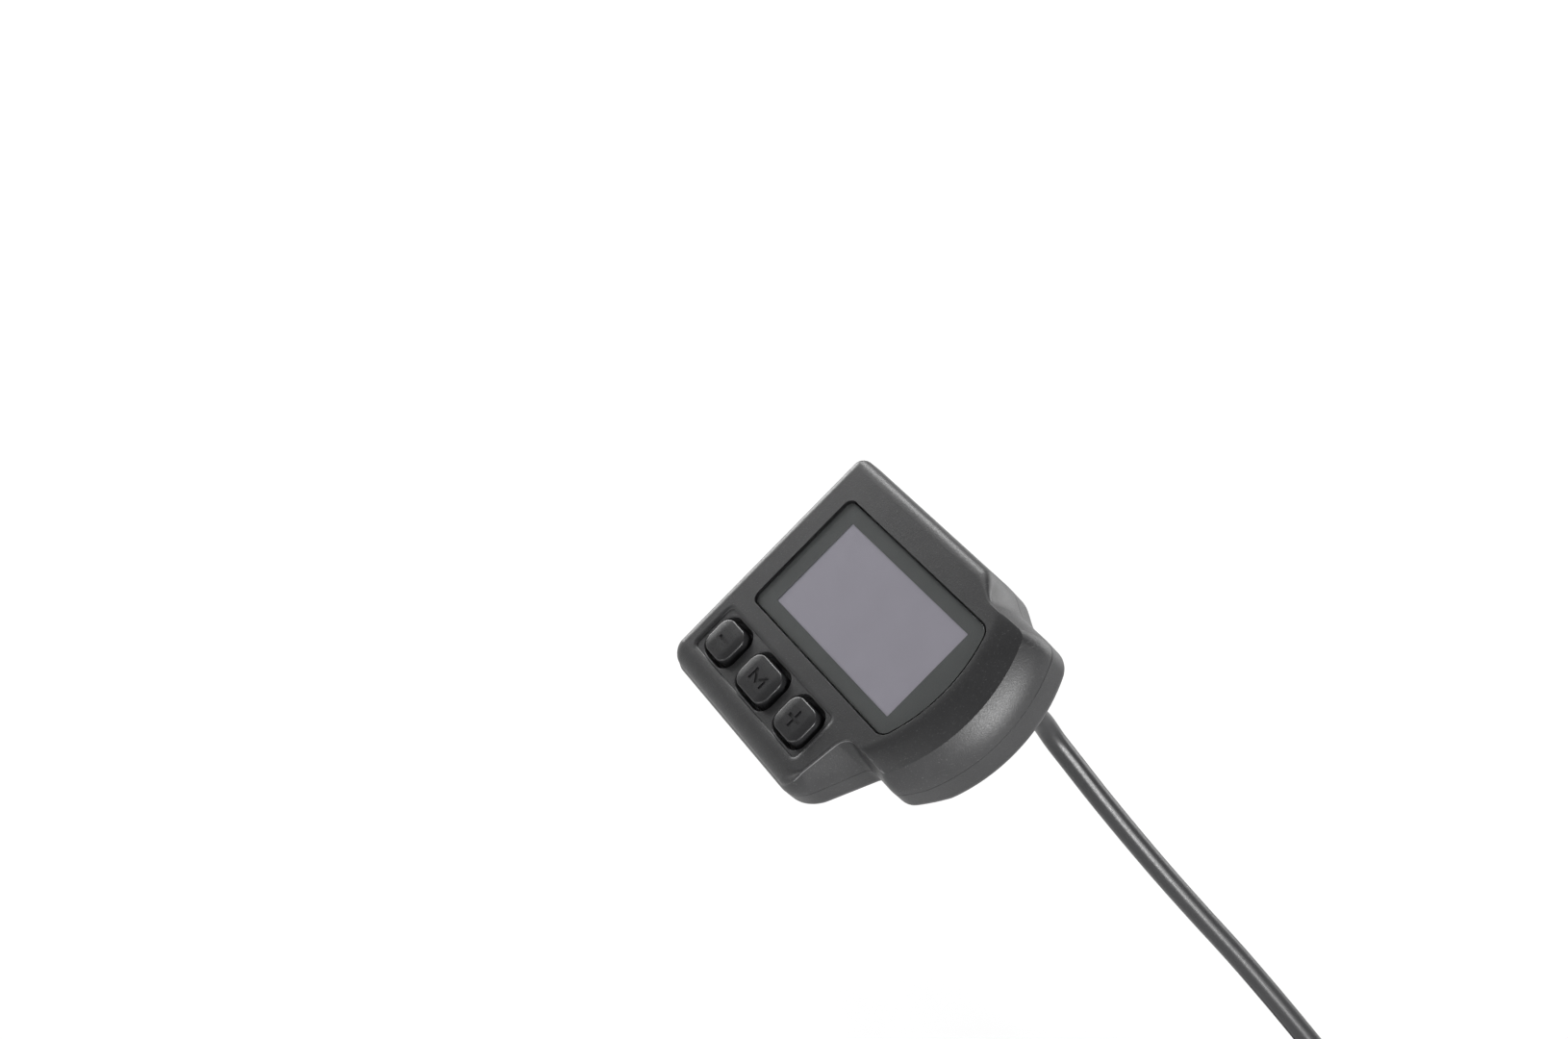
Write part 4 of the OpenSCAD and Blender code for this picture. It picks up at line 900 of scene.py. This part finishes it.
def polish(name, width, look, slot_name):
    """A copy of a CAD piece with its edges rounded off, which takes the piece's place."""
    obj = bpy.data.objects.new(name + "_fine", nodes[name].data.copy())
    scene.collection.objects.link(obj)
    bm = bmesh.new()
    bm.from_mesh(obj.data)
    bmesh.ops.remove_doubles(bm, verts=bm.verts, dist=SAME_POINT * MM)
    bmesh.ops.dissolve_limit(bm, angle_limit=math.radians(FLAT_ANGLE), verts=bm.verts, edges=bm.edges)
    bm.to_mesh(obj.data)
    bm.free()
    m = obj.modifiers.new("edges", "BEVEL")
    m.width = width * MM
    m.segments = BEVEL_STEPS
    m.limit_method = "ANGLE"
    m.angle_limit = math.radians(BEVEL_ANGLE)
    m.harden_normals = False
    obj.data.polygons.foreach_set("use_smooth", [True] * len(obj.data.polygons))
    obj.data.set_sharp_from_angle(angle=math.radians(SMOOTH_ANGLE))
    return dress(obj, look, slot_name, "display", name)


polish("clamp_ring", 0.5, rear_plastic, "rear_plastic")
polish("clamp_liner", 0.15, rubber, "seal_rubber")
polish("clamp_screw", 0.15, steel, "steel")
polish("clamp_nut", 0.15, steel, "steel")
polish("housing_screws", 0.08, dark_steel, "dark_steel")
polish("cable_gland", 0.12, rubber, "seal_rubber")
tie = polish("cable_tie", 0.2, tie_plastic, "tie_plastic")
plug = polish("plug_body", 0.3, plug_plastic, "plug_plastic")

# Floor and light, in metres and watts
FLOOR_BELOW, FLOOR_IN, FLOOR_FLAT, FLOOR_BEND, FLOOR_WALL = 0.002, 0.3, 2.2, 0.5, 1.1
FLOOR_STEPS, FLOOR_SIDES = 8, 64
FLOOR_GREY, FLOOR_GLOW, FLOOR_SHARE, SKY_LIGHT = 0.8, 1.0, 0.6, 0.05
LAMPS_ABOUT = Vector((0.017, 0.0, 0.02))


def floor_bowl():
    """A round floor that turns up into a low wall, as a studio's backdrop does."""
    ground = cad_box[0].z - FLOOR_BELOW
    profile = [(FLOOR_IN, 0), (FLOOR_FLAT, 0)]
    for i in range(1, FLOOR_STEPS + 1):
        a = math.pi / 2 * i / FLOOR_STEPS
        profile.append((FLOOR_FLAT + FLOOR_BEND * math.sin(a), FLOOR_BEND * (1 - math.cos(a))))
    profile.append((FLOOR_FLAT + FLOOR_BEND, FLOOR_WALL))
    n = FLOOR_SIDES
    verts = [(0, 0, ground)]
    for r, z in profile:
        for k in range(n):
            a = 2 * math.pi * k / n
            verts.append((r * math.cos(a), r * math.sin(a), ground + z))
    faces = [(0, 1 + k, 1 + (k + 1) % n) for k in range(n)]
    for j in range(len(profile) - 1):
        for k in range(n):
            i = (k + 1) % n
            faces.append((1 + j * n + k, 1 + (j + 1) * n + k, 1 + (j + 1) * n + i, 1 + j * n + i))
    mesh = bpy.data.meshes.new("floor")
    mesh.from_pydata(verts, [], faces)
    mesh.polygons.foreach_set("use_smooth", [True] * len(mesh.polygons))
    obj = bpy.data.objects.new("floor", mesh)
    scene.collection.objects.link(obj)
    return obj


def floor_look():
    """A matt floor that glows for the camera and in mirroring and clear surfaces, but lights nothing."""
    m, tree, links = material("floor")
    diffuse = tree.new("ShaderNodeBsdfDiffuse")
    diffuse.inputs["Color"].default_value = (FLOOR_GREY, FLOOR_GREY, FLOOR_GREY, 1)
    glow = tree.new("ShaderNodeEmission")
    glow.inputs["Color"].default_value = (1, 1, 1, 1)
    glow.inputs["Strength"].default_value = FLOOR_GLOW
    path = tree.new("ShaderNodeLightPath")
    seen = path.outputs["Is Camera Ray"]
    for ray in ("Is Glossy Ray", "Is Transmission Ray"):
        seen = maths(tree, links, "MAXIMUM", seen, path.outputs[ray])
    both = tree.new("ShaderNodeMixShader")
    links.new(maths(tree, links, "MULTIPLY", seen, FLOOR_SHARE), both.inputs[0])
    links.new(diffuse.outputs[0], both.inputs[1])
    links.new(glow.outputs[0], both.inputs[2])
    show(tree, links, both)
    return m


def even_light():
    """A faint light from all sides."""
    world = bpy.data.worlds.new("world")
    scene.world = world
    world.use_nodes = True
    tree, links = world.node_tree.nodes, world.node_tree.links
    tree.clear()
    sky = tree.new("ShaderNodeBackground")
    sky.inputs["Color"].default_value = (1, 1, 1, 1)
    sky.inputs["Strength"].default_value = SKY_LIGHT
    out = tree.new("ShaderNodeOutputWorld")
    links.new(sky.outputs[0], out.inputs["Surface"])


def lamp(name, azimuth, elevation, size, power):
    """A round soft lamp a metre from the head. Azimuth 0 is along +X and 90 along +Y, in degrees."""
    a, e = math.radians(azimuth), math.radians(elevation)
    away = Vector((math.cos(a) * math.cos(e), math.sin(a) * math.cos(e), math.sin(e)))
    data = bpy.data.lights.new(name, "AREA")
    data.shape = "DISK"
    data.size = size
    data.energy = power
    obj = bpy.data.objects.new(name, data)
    obj.location = LAMPS_ABOUT + away
    obj.rotation_euler = (-away).to_track_quat("-Z", "Y").to_euler()
    scene.collection.objects.link(obj)


floor = floor_bowl()
floor.data.materials.append(floor_look())
even_light()
lamp("lamp_left", 183, 14, 0.6, 8.0)
lamp("lamp_left_back", 150, 36, 0.4, 5.2)
lamp("lamp_back", 98, 12, 0.75, 5.0)
lamp("lamp_right", 0, 9, 0.35, 8.0)
lamp("lamp_right_high", 15, 21, 0.22, 4.4)
lamp("lamp_front", 262, 12, 0.4, 2.2)
lamp("lamp_top", 180, 62, 0.4, 1.4)
lamp("lamp_front_high", 270, 55, 0.4, 0.1)
lamp("lamp_edges", 300, 30, 0.09, 1.2)
